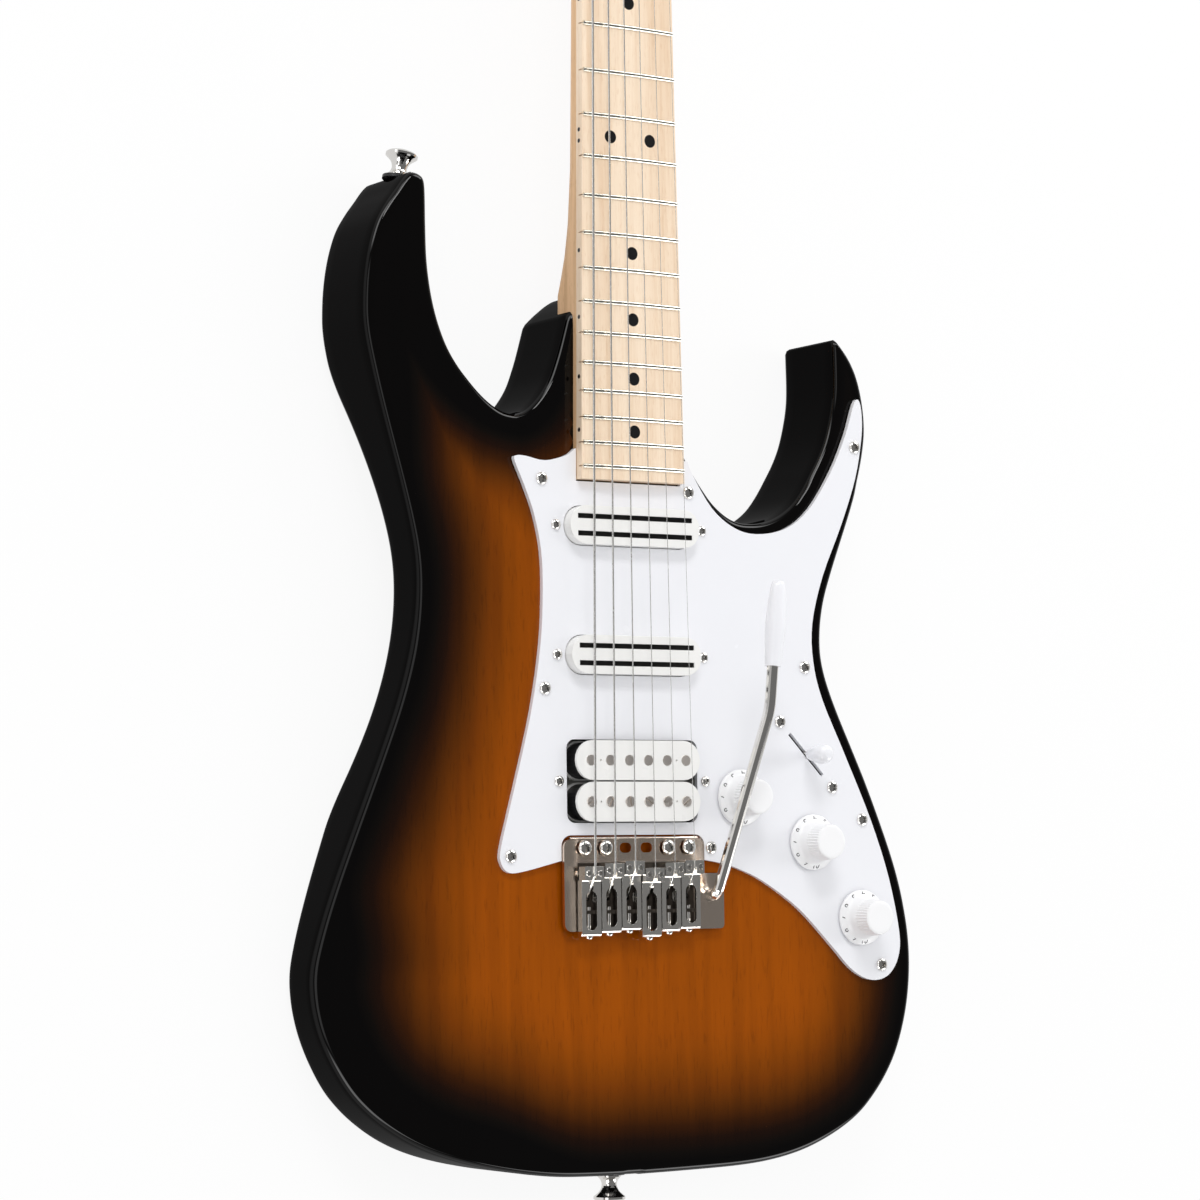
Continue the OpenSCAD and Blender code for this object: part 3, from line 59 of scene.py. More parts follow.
# --- Studio -----------------------------------------------------------------------------------
# The guitar lies on a white table. The camera looks down past its bass side, with a long lens
# held a little off level, and the view is cropped through the neck.
def set_down(name, data):
    """An object at the origin of the scene that holds the data."""
    held = bpy.data.objects.new(name, data)
    bpy.context.scene.collection.objects.link(held)
    return held


def settled(holder):
    """The plain mesh that an object's modifiers or its lettering give."""
    return bpy.data.meshes.new_from_object(holder.evaluated_get(bpy.context.evaluated_depsgraph_get()))


def mesh_of(name, points, lines=(), faces=()):
    """A mesh from points in millimetres."""
    mesh = bpy.data.meshes.new(name)
    mesh.from_pydata(np.asarray(points, float) * MM, lines, faces)
    return mesh


def paint(mesh, finish):
    """Leaves one finish on a mesh."""
    mesh.materials.clear()
    mesh.materials.append(finish.owner)


camera_at = Vector((-0.9187, -0.0008, 1.4362))
camera_turn, camera_pitch, camera_roll = (math.radians(a) for a in (32.99, 4.22, -0.79))
camera_lens = 109.95

level_turn = Matrix.Rotation(-camera_turn, 4, "Y")
tilted = Matrix.Rotation(camera_pitch, 4, "X") @ Matrix.Rotation(camera_roll, 4, "Z")
camera = set_down("camera", bpy.data.cameras.new("camera"))
camera.data.lens = camera_lens
camera.data.sensor_width = 36
camera.data.clip_end = 20
camera.matrix_world = Matrix.Translation(camera_at) @ level_turn @ tilted
bpy.context.scene.camera = camera
bpy.context.scene.view_settings.view_transform = "Standard"


class Wire:
    """One output of a node, which Python sums turn into Math nodes."""

    def __init__(self, finish, socket):
        self.finish = finish
        self.socket = socket

    def sum(self, operation, a, b=0.0):
        return self.finish.node("ShaderNodeMath", {"operation": operation}, {0: a, 1: b})

    def __add__(self, other):
        return self.sum("ADD", self, other)

    __radd__ = __add__

    def __sub__(self, other):
        return self.sum("SUBTRACT", self, other)

    def __rsub__(self, other):
        return self.sum("SUBTRACT", other, self)

    def __mul__(self, other):
        return self.sum("MULTIPLY", self, other)

    __rmul__ = __mul__

    def __truediv__(self, other):
        return self.sum("DIVIDE", self, other)

    def __gt__(self, other):
        return self.sum("GREATER_THAN", self, other)

    def __pow__(self, other):
        return self.sum("POWER", self, other)

    def other(self, name):
        return Wire(self.finish, self.socket.node.outputs[name])

    def smooth(self, low, high):
        settings = {"interpolation_type": "SMOOTHSTEP"}
        bounds = {"Value": self, "From Min": low, "From Max": high}
        return self.finish.node("ShaderNodeMapRange", settings, bounds)


class Finish:
    """A finish is a material or a world, and its node tree."""

    def __init__(self, owner):
        self.owner = owner
        owner.use_nodes = True
        self.tree = owner.node_tree
        self.tree.nodes.clear()

    def node(self, kind, settings=None, inputs=None):
        made = self.tree.nodes.new(kind)
        for name, value in (settings or {}).items():
            if name == "stops":
                ramp = made.color_ramp.elements
                while len(ramp) < len(value):
                    ramp.new(0.5)
                for stop, (place, colour) in zip(ramp, value):
                    stop.position = place
                    stop.color = (*colour, 1)
            else:
                setattr(made, name, value)
        for name, value in (inputs or {}).items():
            if isinstance(value, Wire):
                self.tree.links.new(value.socket, made.inputs[name])
            else:
                made.inputs[name].default_value = value
        return Wire(self, next((o for o in made.outputs if o.enabled), None) if made.outputs else None)

    def noise(self, place, scale, detail, distortion=0.0):
        """Cloudy values about one half, at a place in metres and a number of clouds to the metre."""
        return self.node("ShaderNodeTexNoise", {}, {
            "Vector": place, "Scale": scale, "Detail": detail, "Distortion": distortion})

    def mix(self, share, a, b):
        """A colour part of the way from a to b."""
        a, b = ((*c, 1) if isinstance(c, tuple) and len(c) == 3 else c for c in (a, b))
        return self.node("ShaderNodeMix", {"data_type": "RGBA"}, {0: share, 6: a, 7: b})


# The room is white to the eye. In polish it is a pale table and horizon under a dim ceiling, with
# a long softbox past each end of the guitar, which draws the white lines along rounded edges.
room = Finish(bpy.data.worlds.new("studio"))
bpy.context.scene.world = room.owner
path = room.node("ShaderNodeLightPath")
outlook = room.node("ShaderNodeTexCoord").other("Generated")
bearing = room.node("ShaderNodeSeparateXYZ", {}, {0: outlook})
lengthways = room.node("ShaderNodeMath", {"operation": "ABSOLUTE"}, {0: bearing.other("Y")})
height = bearing.other("Z")
horizon, ceiling, panels, room_light = 0.78, 0.17, 6.0, 0.78
end_panels = panels * lengthways.smooth(0.44, 0.56) * (1 - lengthways.smooth(0.80, 0.88))
end_panels = end_panels * height.smooth(0.10, 0.20) * (1 - height.smooth(0.44, 0.54))
player_strength = 1.5
player_side = player_strength * (0 - bearing.other("X")).smooth(0.62, 0.70)
player_side = player_side * (1 - lengthways.smooth(0.30, 0.42)) * height.smooth(0.40, 0.5)
polish = ceiling + (horizon - ceiling) * (1 - height.smooth(0.10, 0.34)) + end_panels + player_side
seen = path.other("Is Camera Ray")
mirrored = path.other("Is Glossy Ray") + path.other("Is Transmission Ray")
strength = seen + (1 - seen) * (mirrored * polish + (1 - mirrored) * room_light)
light = room.node("ShaderNodeBackground", {}, {"Color": (1, 1, 1, 1), "Strength": strength})
room.node("ShaderNodeOutputWorld", {}, {"Surface": light})


def softbox(name, at, towards, size, watts, shows):
    """A flat studio light that faces a point, and may show in polish."""
    lamp = bpy.data.lights.new(name, "AREA")
    lamp.shape = "RECTANGLE"
    lamp.size, lamp.size_y = size
    lamp.energy = watts
    holder = set_down(name, lamp)
    holder.location = at
    holder.visible_glossy = shows
    holder.rotation_euler = (Vector(at) - Vector(towards)).to_track_quat("Z", "Y").to_euler()


softbox("key_light", (-0.55, 1.9, 1.5), (0, 0.1, 0), (0.9, 0.5), 16, True)
softbox("side_light", (1.7, 0.3, 1.1), (0, 0, 0), (0.5, 1.4), 7, False)

table_reach, table_gap = 9000, 0.5
table_corners = [(x * table_reach, y * table_reach, -table_gap)
                 for x, y in ((-1, -1), (1, -1), (1, 1), (-1, 1))]
table = mesh_of("table", table_corners, faces=[(0, 1, 2, 3)])
table_top = set_down("table", table)
paper = Finish(bpy.data.materials.new("white_table"))
path = paper.node("ShaderNodeLightPath")
white = (0.92, 0.92, 0.92, 1)
paper_lit = paper.node("ShaderNodeBsdfDiffuse", {}, {"Color": white})
reflected = path.other("Is Glossy Ray") + path.other("Is Transmission Ray")
paper_bright = paper.node("ShaderNodeEmission", {}, {
    "Color": (1, 1, 1, 1), "Strength": path.other("Is Camera Ray") + horizon * reflected})
shade = 0.90 * path.other("Is Camera Ray") + reflected
mixed = paper.node("ShaderNodeMixShader", {}, {0: shade, 1: paper_lit, 2: paper_bright})
paper.node("ShaderNodeOutputMaterial", {}, {"Surface": mixed})
paint(table, paper)

# --- Body -------------------------------------------------------------------------------------
# Two boards of basswood are glued edge to edge, sawn to the outline, rounded over and eased for
# the forearm and the ribs. The sunburst goes from amber to black under thick clear lacquer.
body_boards = ("body_bass_half", "body_treble_half")


def area(loop):
    x, y = loop.T
    return 0.5 * np.sum(x * np.roll(y, -1) - y * np.roll(x, -1))


def loops_at(nodes, z, seam=None):
    """Closed outlines, in millimetres, of a level cut through CAD nodes, the largest first."""
    ends, on_line, same_spot = [], 0.01, 0.02
    for name in nodes:
        mesh = frame["nodes"][name].data
        mesh.calc_loop_triangles()
        points = np.empty(len(mesh.vertices) * 3)
        mesh.vertices.foreach_get("co", points)
        points = points.reshape(-1, 3) / MM
        corners = np.empty(len(mesh.loop_triangles) * 3, int)
        mesh.loop_triangles.foreach_get("vertices", corners)
        corners = points[corners.reshape(-1, 3)]
        crossed = (corners[:, :, 2].min(1) < z) & (corners[:, :, 2].max(1) > z)
        for triangle in corners[crossed]:
            cut = []
            for a, b in ((0, 1), (1, 2), (2, 0)):
                low, high = triangle[a], triangle[b]
                if (low[2] - z) * (high[2] - z) < 0:
                    cut.append(low + (high - low) * (z - low[2]) / (high[2] - low[2]))
            off_seam = seam is None or sum(abs(end[0] - seam) for end in cut) >= on_line
            if len(cut) == 2 and off_seam:
                ends += cut
    ends = np.array(ends)[:, :2]
    tree = kdtree.KDTree(len(ends))
    for i, end in enumerate(ends):
        tree.insert((*end, 0), i)
    tree.balance()
    same = [min(i for _, i, _ in tree.find_range((*end, 0), same_spot)) for end in ends]
    links = {}
    for a, b in zip(same[::2], same[1::2]):
        if a != b:
            links.setdefault(a, set()).add(b)
            links.setdefault(b, set()).add(a)
    loops = []
    while links:
        at = next(iter(links))
        walk = [at]
        while at in links and links[at]:
            onward = links[at].pop()
            links[onward].discard(at)
            if not links[at]:
                links.pop(at)
            at = onward
            walk.append(at)
        links.pop(at, None)
        loops.append(ends[walk[:-1]])
    return sorted((loop for loop in loops if len(loop) > 2), key=lambda loop: -abs(area(loop)))


def fair(loop, step, corner=25):
    """The same outline without its facets. Corners sharper than the angle stay."""
    before, after = loop - np.roll(loop, 1, 0), np.roll(loop, -1, 0) - loop
    chord = after + before
    bow = np.abs(before[:, 0] * chord[:, 1] - before[:, 1] * chord[:, 0])
    bow = bow / np.maximum(np.hypot(*chord.T), 1e-9)
    least_bow = 0.004
    loop = loop[bow > least_bow]
    before, after = loop - np.roll(loop, 1, 0), np.roll(loop, -1, 0) - loop
    turn = (after[:, 0] + 1j * after[:, 1]) / (before[:, 0] + 1j * before[:, 1])
    turn = np.abs(np.angle(turn, deg=True))
    sharp = turn > corner
    smooth = []
    for i in range(len(loop)):
        p1, p2 = loop[i], loop[(i + 1) % len(loop)]
        p0 = 2 * p1 - p2 if sharp[i] else loop[i - 1]
        p3 = 2 * p2 - p1 if sharp[(i + 1) % len(loop)] else loop[(i + 2) % len(loop)]
        length = np.hypot(*(p2 - p1))
        lean1 = (p2 - p0) * length / (np.hypot(*(p2 - p1)) + np.hypot(*(p1 - p0)))
        lean2 = (p3 - p1) * length / (np.hypot(*(p3 - p2)) + np.hypot(*(p2 - p1)))
        for t in np.arange(0, 1, 1 / max(1, round(length / step))):
            smooth.append((2 * t**3 - 3 * t**2 + 1) * p1 + (t**3 - 2 * t**2 + t) * lean1
                          + (3 * t**2 - 2 * t**3) * p2 + (t**3 - t**2) * lean2)
    return np.array(smooth)


def distance_to(loop, points):
    """Distance of points from a closed outline."""
    a, run = loop, np.roll(loop, -1, 0) - loop
    nearest = []
    for some in np.array_split(points, max(1, len(points) // 500)):
        gap = some[:, None] - a
        along = np.clip((gap * run).sum(2) / (run**2).sum(1), 0, 1)
        nearest.append(np.hypot(*np.moveaxis(gap - along[..., None] * run, 2, 0)).min(1))
    return np.concatenate(nearest)


def within(loop, points):
    """True for the points inside a closed outline."""
    a, b = loop, np.roll(loop, -1, 0)
    crossings = np.zeros(len(points), int)
    for (x0, y0), (x1, y1) in zip(a, b):
        if y0 != y1:
            straddles = (points[:, 1] > y0) != (points[:, 1] > y1)
            crosses_at = x0 + (points[:, 1] - y0) * (x1 - x0) / (y1 - y0)
            crossings += straddles & (points[:, 0] < crosses_at)
    return crossings % 2 == 1


def solid(name, points, faces):
    """A mesh object from points in millimetres, at the origin, with its faces turned outwards."""
    mesh = mesh_of(name, points, faces=faces)
    bm = bmesh.new()
    bm.from_mesh(mesh)
    bmesh.ops.recalc_face_normals(bm, faces=bm.faces)
    bm.to_mesh(mesh)
    bm.free()
    return set_down(name, mesh)


def lathe_faces(rings, sides):
    """The faces between equal rings of points, counted ring by ring, and over both ends."""
    faces = []
    for first in range(0, (rings - 1) * sides, sides):
        for k in range(sides):
            a, b = first + k, first + (k + 1) % sides
            faces.append((a, b, b + sides, a + sides))
    return faces + [tuple(range(sides))[::-1], tuple(range((rings - 1) * sides, rings * sides))]


def prism(name, loop, low, high):
    points = [(*p, z) for z in (low, high) for p in loop]
    return solid(name, points, lathe_faces(2, len(loop)))


def cut_away(piece, cutters):
    """Takes each cutter out of a piece, and throws the cutters away."""
    for cutter in cutters:
        cut = piece.modifiers.new("cut", "BOOLEAN")
        cut.solver = "EXACT"
        cut.object = cutter
    whole = settled(piece)
    piece.modifiers.clear()
    piece.data = whole
    for cutter in cutters:
        bpy.data.objects.remove(cutter)


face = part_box(body_boards[0])[1].z / MM
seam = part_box(body_boards[0])[1].x / MM


def stretch(level, wanted):
    """The part of the outline at one level that a test of its points picks, anticlockwise."""
    loop = loops_at(body_boards, level, seam)[0]
    loop = loop if area(loop) > 0 else loop[::-1]
    wanted = wanted(*loop.T)
    first = int(np.flatnonzero(wanted & ~np.roll(wanted, 1))[0])
    return np.roll(loop, -first, 0)[np.roll(wanted, -first)]


# Each stretch of the side is read at a level that the scoops and the socket's recess leave whole.
rim_step = 1.4
outline = fair(np.vstack([
    stretch(37.5, lambda x, y: (x > seam) & (y < 0)),
    stretch(26, lambda x, y: y >= 0),
    stretch(15, lambda x, y: (x <= seam) & (y < 0))]), rim_step)

front_round, back_round = 3.4, 4.4
tangent = np.roll(outline, -1, 0) - np.roll(outline, 1, 0)
inward = np.stack([-tangent[:, 1], tangent[:, 0]], 1) / np.hypot(*tangent.T)[:, None]
plan = [outline]
for inset in (0.28, 1.0, 2.05, 3.4, 4.4, 6.2):
    ring = outline + inward * inset
    ring = ring[distance_to(outline, ring) > 0.97 * inset]
    apart = np.hypot(*(ring - np.roll(ring, 1, 0)).T) > 0.3
    plan.append(ring[apart])
low, high = outline.min(0), outline.max(0)
grid_step, grid_margin = 4.0, 8.0
columns, rows = (np.arange(low[k], high[k], grid_step) for k in (0, 1))
grid = np.stack(np.meshgrid(columns, rows), -1).reshape(-1, 2)
grid[:, 0] += grid_step / 2 * (np.arange(len(grid)) // len(columns) % 2)
grid = grid[within(outline, grid)]
plan.append(grid[distance_to(outline, grid) > grid_margin])
plan = np.vstack(plan)
rim_n = len(outline)
rim_edges = [(i, (i + 1) % rim_n) for i in range(rim_n)]
flat = geometry.delaunay_2d_cdt([Vector(p) for p in plan], rim_edges, [], 1, 1e-4)
plan = np.array([tuple(p) for p in flat[0]])
cells = flat[2]
rim = distance_to(outline, plan)
rim[:rim_n] = 0


def soft_least(a, b, blend):
    share = np.clip(0.5 + 0.5 * (b - a) / blend, 0, 1)
    return b * (1 - share) + a * share - blend * share * (1 - share)


def ease(t):
    t = np.clip(t, 0, 1)
    return t * t * (3 - 2 * t)


def rounded(gap, radius):
    return radius - np.sqrt(radius**2 - np.clip(radius - gap, 0, None) ** 2)


# The forearm plane starts on a line down the bass side, and the rib scoop is a tilted barrel.
forearm_start, forearm_end = np.array([-104.0, 128.0]), np.array([-88.0, -130.0])
forearm_slope, forearm_blend, scoop_blend = 19 / 58, 2.4, 5.0
run = (forearm_end - forearm_start) / np.hypot(*(forearm_end - forearm_start))
past = (plan - forearm_start) @ np.array([run[1], -run[0]])
fade = 1 - ease((plan[:, 1] - 90) / 95)
forearm = face - forearm_slope * past * fade
scoop_radius, scoop_y, scoop_drop, tilt_sine, tilt_cosine = 200.0, 125.0, 165.2, 0.4067, 0.9135
barrel = np.sqrt(np.clip(scoop_radius**2 - (plan[:, 1] - scoop_y) ** 2, 0, None))
scoop = (barrel - tilt_sine * (plan[:, 0] + 191.34)) / tilt_cosine - scoop_drop
top = soft_least(np.full(len(plan), face), forearm, forearm_blend) - rounded(rim, front_round)
bottom = -soft_least(np.zeros(len(plan)), -scoop, scoop_blend) + rounded(rim, back_round)

points = [(x, y, z) for heights in (top, bottom) for (x, y), z in zip(plan, heights)]
count = len(plan)
faces = [tuple(c) for c in cells] + [tuple(count + i for i in reversed(c)) for c in cells]
steps = 6
for k in range(1, steps):
    points += [(*plan[i], top[i] + (bottom[i] - top[i]) * k / steps) for i in range(rim_n)]
level = [0] + [2 * count + (k - 1) * rim_n for k in range(1, steps)] + [count]
for upper, lower in zip(level, level[1:]):
    faces += [(upper + i, lower + i, lower + j, upper + j) for i, j in rim_edges]
body = solid("lacquered_body", points, faces)
depth = body.data.attributes.new("edge_distance", "FLOAT", "POINT")
# The spray is carried further in over the forearm plane, and over the horn.
extra_spray = 13
over_arm = extra_spray * ease((plan[:, 0] + 20) / -60) * ease((plan[:, 1] + 2) / -40)
over_horn = extra_spray * ease((plan[:, 0] + 20) / -40) * ease((plan[:, 1] - 165) / 70)
sprayed_from = np.maximum(rim - over_arm - over_horn, 0)
depths = np.concatenate([sprayed_from, sprayed_from, np.zeros(rim_n * (steps - 1))])
depth.data.foreach_set("value", depths.astype(np.float32))

# Routes are cut where the CAD body has them: each level gives their outlines down to the next.
# Each level's outlines are a hair larger than the last, so that no two cutters share a wall.
cutters, growth, hair = [], 0.0, 3e-4
least_wall, least_route, least_step = 2, 8, 0.05
for low, high, level in ((-1, 1.8, 0.9), (1.7, 17, 9.0), (16.9, 24, 18.0), (23.9, 60, 34.0)):
    growth += hair
    for loop in loops_at(body_boards, level, seam):
        if distance_to(outline, loop).min() > least_wall and np.ptp(loop, 0).max() > least_route:
            loop = loop + (loop - loop.mean(0)) * growth
            loop = loop[np.hypot(*(loop - np.roll(loop, 1, 0)).T) > least_step]
            cutters.append(prism("route", loop, low, high))
heel_level, heel_gap, above_face = 34, 0.12, 60
heel = loops_at(("neck",), heel_level)[0]
heel = heel + heel_gap * np.sign(heel - heel.mean(0)) * (np.abs(heel - heel.mean(0)) > 10)
heel_floor = min(v.co.z for v in frame["nodes"]["neck"].data.vertices if v.co.y < 0.25) / MM
cutters.append(prism("neck_pocket", heel, heel_floor, above_face))
socket = next(m for m in frame["record"]["mounts"] if m["name"] == "output_socket")
out = Vector(socket["axis"])
jack_frame = Matrix((out, Vector((0, 0, 1)).cross(out), Vector((0, 0, 1)))).transposed()
jack_at = Vector(socket["pos_m"]) / MM


def at_jack(x, y, z):
    """A point measured out of the body, along the edge and up, from the socket's mouth."""
    return jack_at + jack_frame @ Vector((x, y, z))


plate = np.array([(jack_frame.transposed() @ (v.co / MM - jack_at))[:]
                  for v in frame["nodes"]["jack_plate"].data.vertices])
low, high = plate.min(0), plate.max(0)
plate_gap, past_edge = 0.2, 30
recess = [at_jack(x, t * (high[1] + plate_gap), u * (high[2] + plate_gap))
          for x in (low[0], past_edge) for t in (-1, 1) for u in (-1, 1)]
# The six sides of a block whose corners are counted with the last direction changing fastest.
block_sides = [(0, 1, 3, 2), (4, 5, 7, 6), (0, 1, 5, 4), (2, 3, 7, 6), (0, 2, 6, 4), (1, 3, 7, 5)]
cutters.append(solid("jack_recess", recess, block_sides))
bore_radius, bore_ends, bore_sides = 11, (-34, 1), 48
bore_turns = [2 * math.pi * k / bore_sides for k in range(bore_sides)]
bore = [at_jack(x, math.cos(a) * bore_radius, math.sin(a) * bore_radius)
        for x in bore_ends for a in bore_turns]
cutters.append(solid("jack_bore", bore, lathe_faces(2, bore_sides)))
cut_away(body, cutters)
body.data.shade_smooth()
body.data.set_sharp_from_angle(angle=math.radians(38))

lacquer = Finish(bpy.data.materials.new("sunburst_lacquer"))
place = lacquer.node("ShaderNodeTexCoord").other("Object")
edge_gap = lacquer.node("ShaderNodeAttribute", {"attribute_name": "edge_distance"}).other("Fac")
sway = lacquer.noise(place, 14.0, 2.0)
along_grain = lacquer.node("ShaderNodeMapping", {}, {"Vector": place, "Scale": (1.0, 0.06, 0.5)})
broad = lacquer.noise(along_grain, 130.0, 5.0, 0.5)
in_pores = lacquer.node("ShaderNodeMapping", {}, {"Vector": place, "Scale": (1.0, 0.10, 0.5)})
fine = lacquer.noise(in_pores, 950.0, 2.0)
pores = fine.smooth(0.56, 0.70)
spray_width, spray_sway = 75, 5
sprayed = (edge_gap + spray_sway * (sway - 0.5)) / spray_width
burst = lacquer.node("ShaderNodeValToRGB", {"stops": (
    (0.07, (0.0006, 0.0003, 0.0003)), (0.12, (0.0027, 0.0015, 0.0009)), (0.20, (0.0103, 0.003, 0.0009)),
    (0.28, (0.032, 0.008, 0.0006)), (0.36, (0.072, 0.0176, 0.0006)), (0.44, (0.117, 0.0273, 0.0006)),
    (0.52, (0.162, 0.0356, 0.0006)), (0.60, (0.202, 0.0452, 0.0006)), (0.68, (0.242, 0.0529, 0.0006)),
    (0.76, (0.275, 0.0595, 0.0009)), (0.84, (0.296, 0.063, 0.0009)), (0.96, (0.310, 0.0666, 0.0009)))},
    {"Fac": sprayed})
streaks = broad.smooth(0.3, 0.7)
grain = 0.90 + 0.20 * streaks - 0.16 * pores
tone = lacquer.node("ShaderNodeCombineXYZ", {}, {0: grain, 1: grain, 2: grain})
multiplied = {"data_type": "RGBA", "blend_type": "MULTIPLY"}
stained = lacquer.node("ShaderNodeMix", multiplied, {0: 1.0, 6: burst, 7: tone})
ripple = lacquer.noise(place, 9.0, 1.0)
skin = lacquer.node("ShaderNodeBump", {}, {"Strength": 0.04, "Distance": 0.002, "Height": ripple})
# The walls are duller than the front and the back, which are buffed flat.
outwards = lacquer.node("ShaderNodeNewGeometry").other("Normal")
facing = lacquer.node("ShaderNodeSeparateXYZ", {}, {0: outwards})
levelled = lacquer.node("ShaderNodeMath", {"operation": "ABSOLUTE"}, {0: facing.other("Z")})
polished = 0.12 + 0.6 * levelled.smooth(0.15, 0.45)
varnished = lacquer.node("ShaderNodeBsdfPrincipled", {}, {
    "Base Color": stained, "Roughness": 0.42 + 0.1 * broad, "Specular IOR Level": 0.0,
    "Coat Weight": polished, "Coat Roughness": 0.015, "Coat IOR": 1.38, "Normal": skin})
lacquer.node("ShaderNodeOutputMaterial", {}, {"Surface": varnished})
paint(body.data, lacquer)
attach(body, "instrument")
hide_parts(*body_boards)

# --- Neck and fretboard -----------------------------------------------------------------------
# The neck is a bolted-on length of hard maple, shaped and rubbed to a satin finish. Its board is a
# paler slice of the same wood, radiused and slotted for the frets, with black dots let in.
def clothe(finish, *nodes):
    """Gives CAD nodes a finish and leaves their shapes alone."""
    for name in nodes:
        for place in frame["nodes"][name].material_slots:
            place.link = "OBJECT"
            place.material = finish.owner


def maple(name, pale, dark, sheen):
    """Straight-grained hard maple: fine lines along the neck, broader bands and short flecks."""
    wood = Finish(bpy.data.materials.new(name))
    place = wood.node("ShaderNodeTexCoord").other("Object")
    stretched = wood.node("ShaderNodeMapping", {}, {"Vector": place, "Scale": (1.0, 0.035, 1.0)})
    bands = wood.noise(stretched, 120.0, 4.0, 0.6)
    lines = wood.noise(stretched, 700.0, 3.0)
    flecked = wood.node("ShaderNodeMapping", {}, {"Vector": place, "Scale": (1.0, 0.14, 1.0)})
    flecks = wood.noise(flecked, 1500.0, 1.0)
    figure = 0.55 * bands.smooth(0.35, 0.68) + 0.3 * lines.smooth(0.4, 0.7)
    figure = figure + 0.35 * flecks.smooth(0.58, 0.72)
    relief = wood.node("ShaderNodeBump", {}, {"Strength": 0.12, "Distance": 0.0002, "Height": lines})
    surface = wood.node("ShaderNodeBsdfPrincipled", {}, {
        "Base Color": wood.mix(figure, pale, dark), "Roughness": sheen + 0.12 * lines, "Normal": relief,
        "Coat Weight": 0.12, "Coat Roughness": 0.3, "Specular IOR Level": 0.3})
    wood.node("ShaderNodeOutputMaterial", {}, {"Surface": surface})
    return wood


def plastic(name, colour, rough, mottle=0.04, bump=0.05, coat=0.0):
    """Moulded or cut plastic, with the faint unevenness of its surface."""
    made = Finish(bpy.data.materials.new(name))
    place = made.node("ShaderNodeTexCoord").other("Object")
    cloud = made.noise(place, 60.0, 3.0)
    pebble = made.noise(place, 1200.0, 2.0)
    darker = tuple(c * (1 - 2 * mottle) for c in colour)
    relief = made.node("ShaderNodeBump", {}, {"Strength": bump, "Distance": 0.0002, "Height": pebble})
    surface = made.node("ShaderNodeBsdfPrincipled", {}, {
        "Base Color": made.mix(cloud, colour, darker), "Roughness": rough + 0.1 * cloud,
        "Normal": relief, "Coat Weight": coat, "Coat Roughness": 0.05, "Specular IOR Level": 0.4})
    made.node("ShaderNodeOutputMaterial", {}, {"Surface": surface})
    return made


def metal(name, colour, rough, brushed=0.0, streak=(1.0, 1.0, 1.0), under=None):
    """Plated or bare metal: slight clouding in the polish, and lines where it was brushed.

    Under the piece that under names, the colour is darkened as painted shade, and the plating is
    rougher.
    """
    made = Finish(bpy.data.materials.new(name))
    place = made.node("ShaderNodeTexCoord").other("Object")
    cloud = made.noise(place, 90.0, 3.0)
    drawn = made.node("ShaderNodeMapping", {}, {"Vector": place, "Scale": streak})
    lines = made.noise(drawn, 1600.0, 2.0)
    relief = made.node("ShaderNodeBump", {}, {
        "Strength": 0.01 + brushed, "Distance": 0.0001, "Height": lines})
    plated = made.mix(cloud, colour, tuple(c * 0.9 for c in colour))
    shade_under_mask, fading, painted_shade_depth = 0.0, 1 * MM, 0.12
    if under:
        shade_under_mask = 1.0
        for axis, start, end in zip("XY", *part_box(under)):
            at = made.node("ShaderNodeSeparateXYZ", {}, {0: place}).other(axis)
            shade_under_mask = shade_under_mask * at.smooth(start, start + fading) * (1 - at.smooth(end - fading, end))
        # Painted shade: under the piece the base colour falls to a small share of itself.
        plated = made.mix(shade_under_mask, plated, tuple(c * painted_shade_depth for c in colour))
    surface = made.node("ShaderNodeBsdfPrincipled", {}, {
        "Base Color": plated, "Metallic": 1.0,
        "Roughness": rough + 0.05 * cloud + 0.5 * brushed * lines + 0.2 * shade_under_mask, "Normal": relief})
    made.node("ShaderNodeOutputMaterial", {}, {"Surface": surface})
    return made


weld = 4e-6


def eased(node, width, finish, body="instrument", angle=38, segments=2, bends=0):
    """A CAD node's shape with its arrises broken, as filing, moulding or plating leaves them.

    Where sheet is bent down at its back end, bends gives the radius of the fold. The folds further
    forward, behind the noses of the saddles, are tighter.
    """
    mesh = frame["nodes"][node].data.copy()
    bm = bmesh.new()
    bm.from_mesh(mesh)
    bmesh.ops.remove_doubles(bm, verts=bm.verts, dist=weld)
    bmesh.ops.dissolve_limit(bm, angle_limit=math.radians(0.6), verts=bm.verts, edges=bm.edges)
    if bends:
        least_fold, upright, rear_band, tighter = 5 * MM, 0.99, 4 * MM, 0.45
        folds = [e for e in bm.edges if len(e.link_faces) == 2 and e.calc_length() > least_fold
                 and max(f.normal.z for f in e.link_faces) > upright
                 and min(f.normal.y for f in e.link_faces) < -upright]
        rear = min(e.verts[0].co.y for e in folds) + rear_band
        lips = [e for e in folds if e.verts[0].co.y < rear]
        noses = [e for e in folds if e.verts[0].co.y >= rear]
        for edges, radius in ((noses, tighter * bends), (lips, bends)):
            bmesh.ops.bevel(bm, geom=edges, offset=radius * MM, offset_type="OFFSET",
                            segments=5, profile=0.5, affect="EDGES")
    bm.to_mesh(mesh)
    bm.free()
    piece = set_down(node + "_eased", mesh)
    edge = piece.modifiers.new("arris", "BEVEL")
    edge.width, edge.segments = width * MM, segments
    edge.limit_method, edge.angle_limit = "ANGLE", math.radians(angle)
    edge.use_clamp_overlap = True
    piece.modifiers.new("flats", "WEIGHTED_NORMAL").keep_sharp = True
    mesh.shade_smooth()
    mesh.set_sharp_from_angle(angle=math.radians(75))
    piece.data = settled(piece)
    piece.modifiers.clear()
    paint(piece.data, finish)
    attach(piece, body)
    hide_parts(node)
    return piece


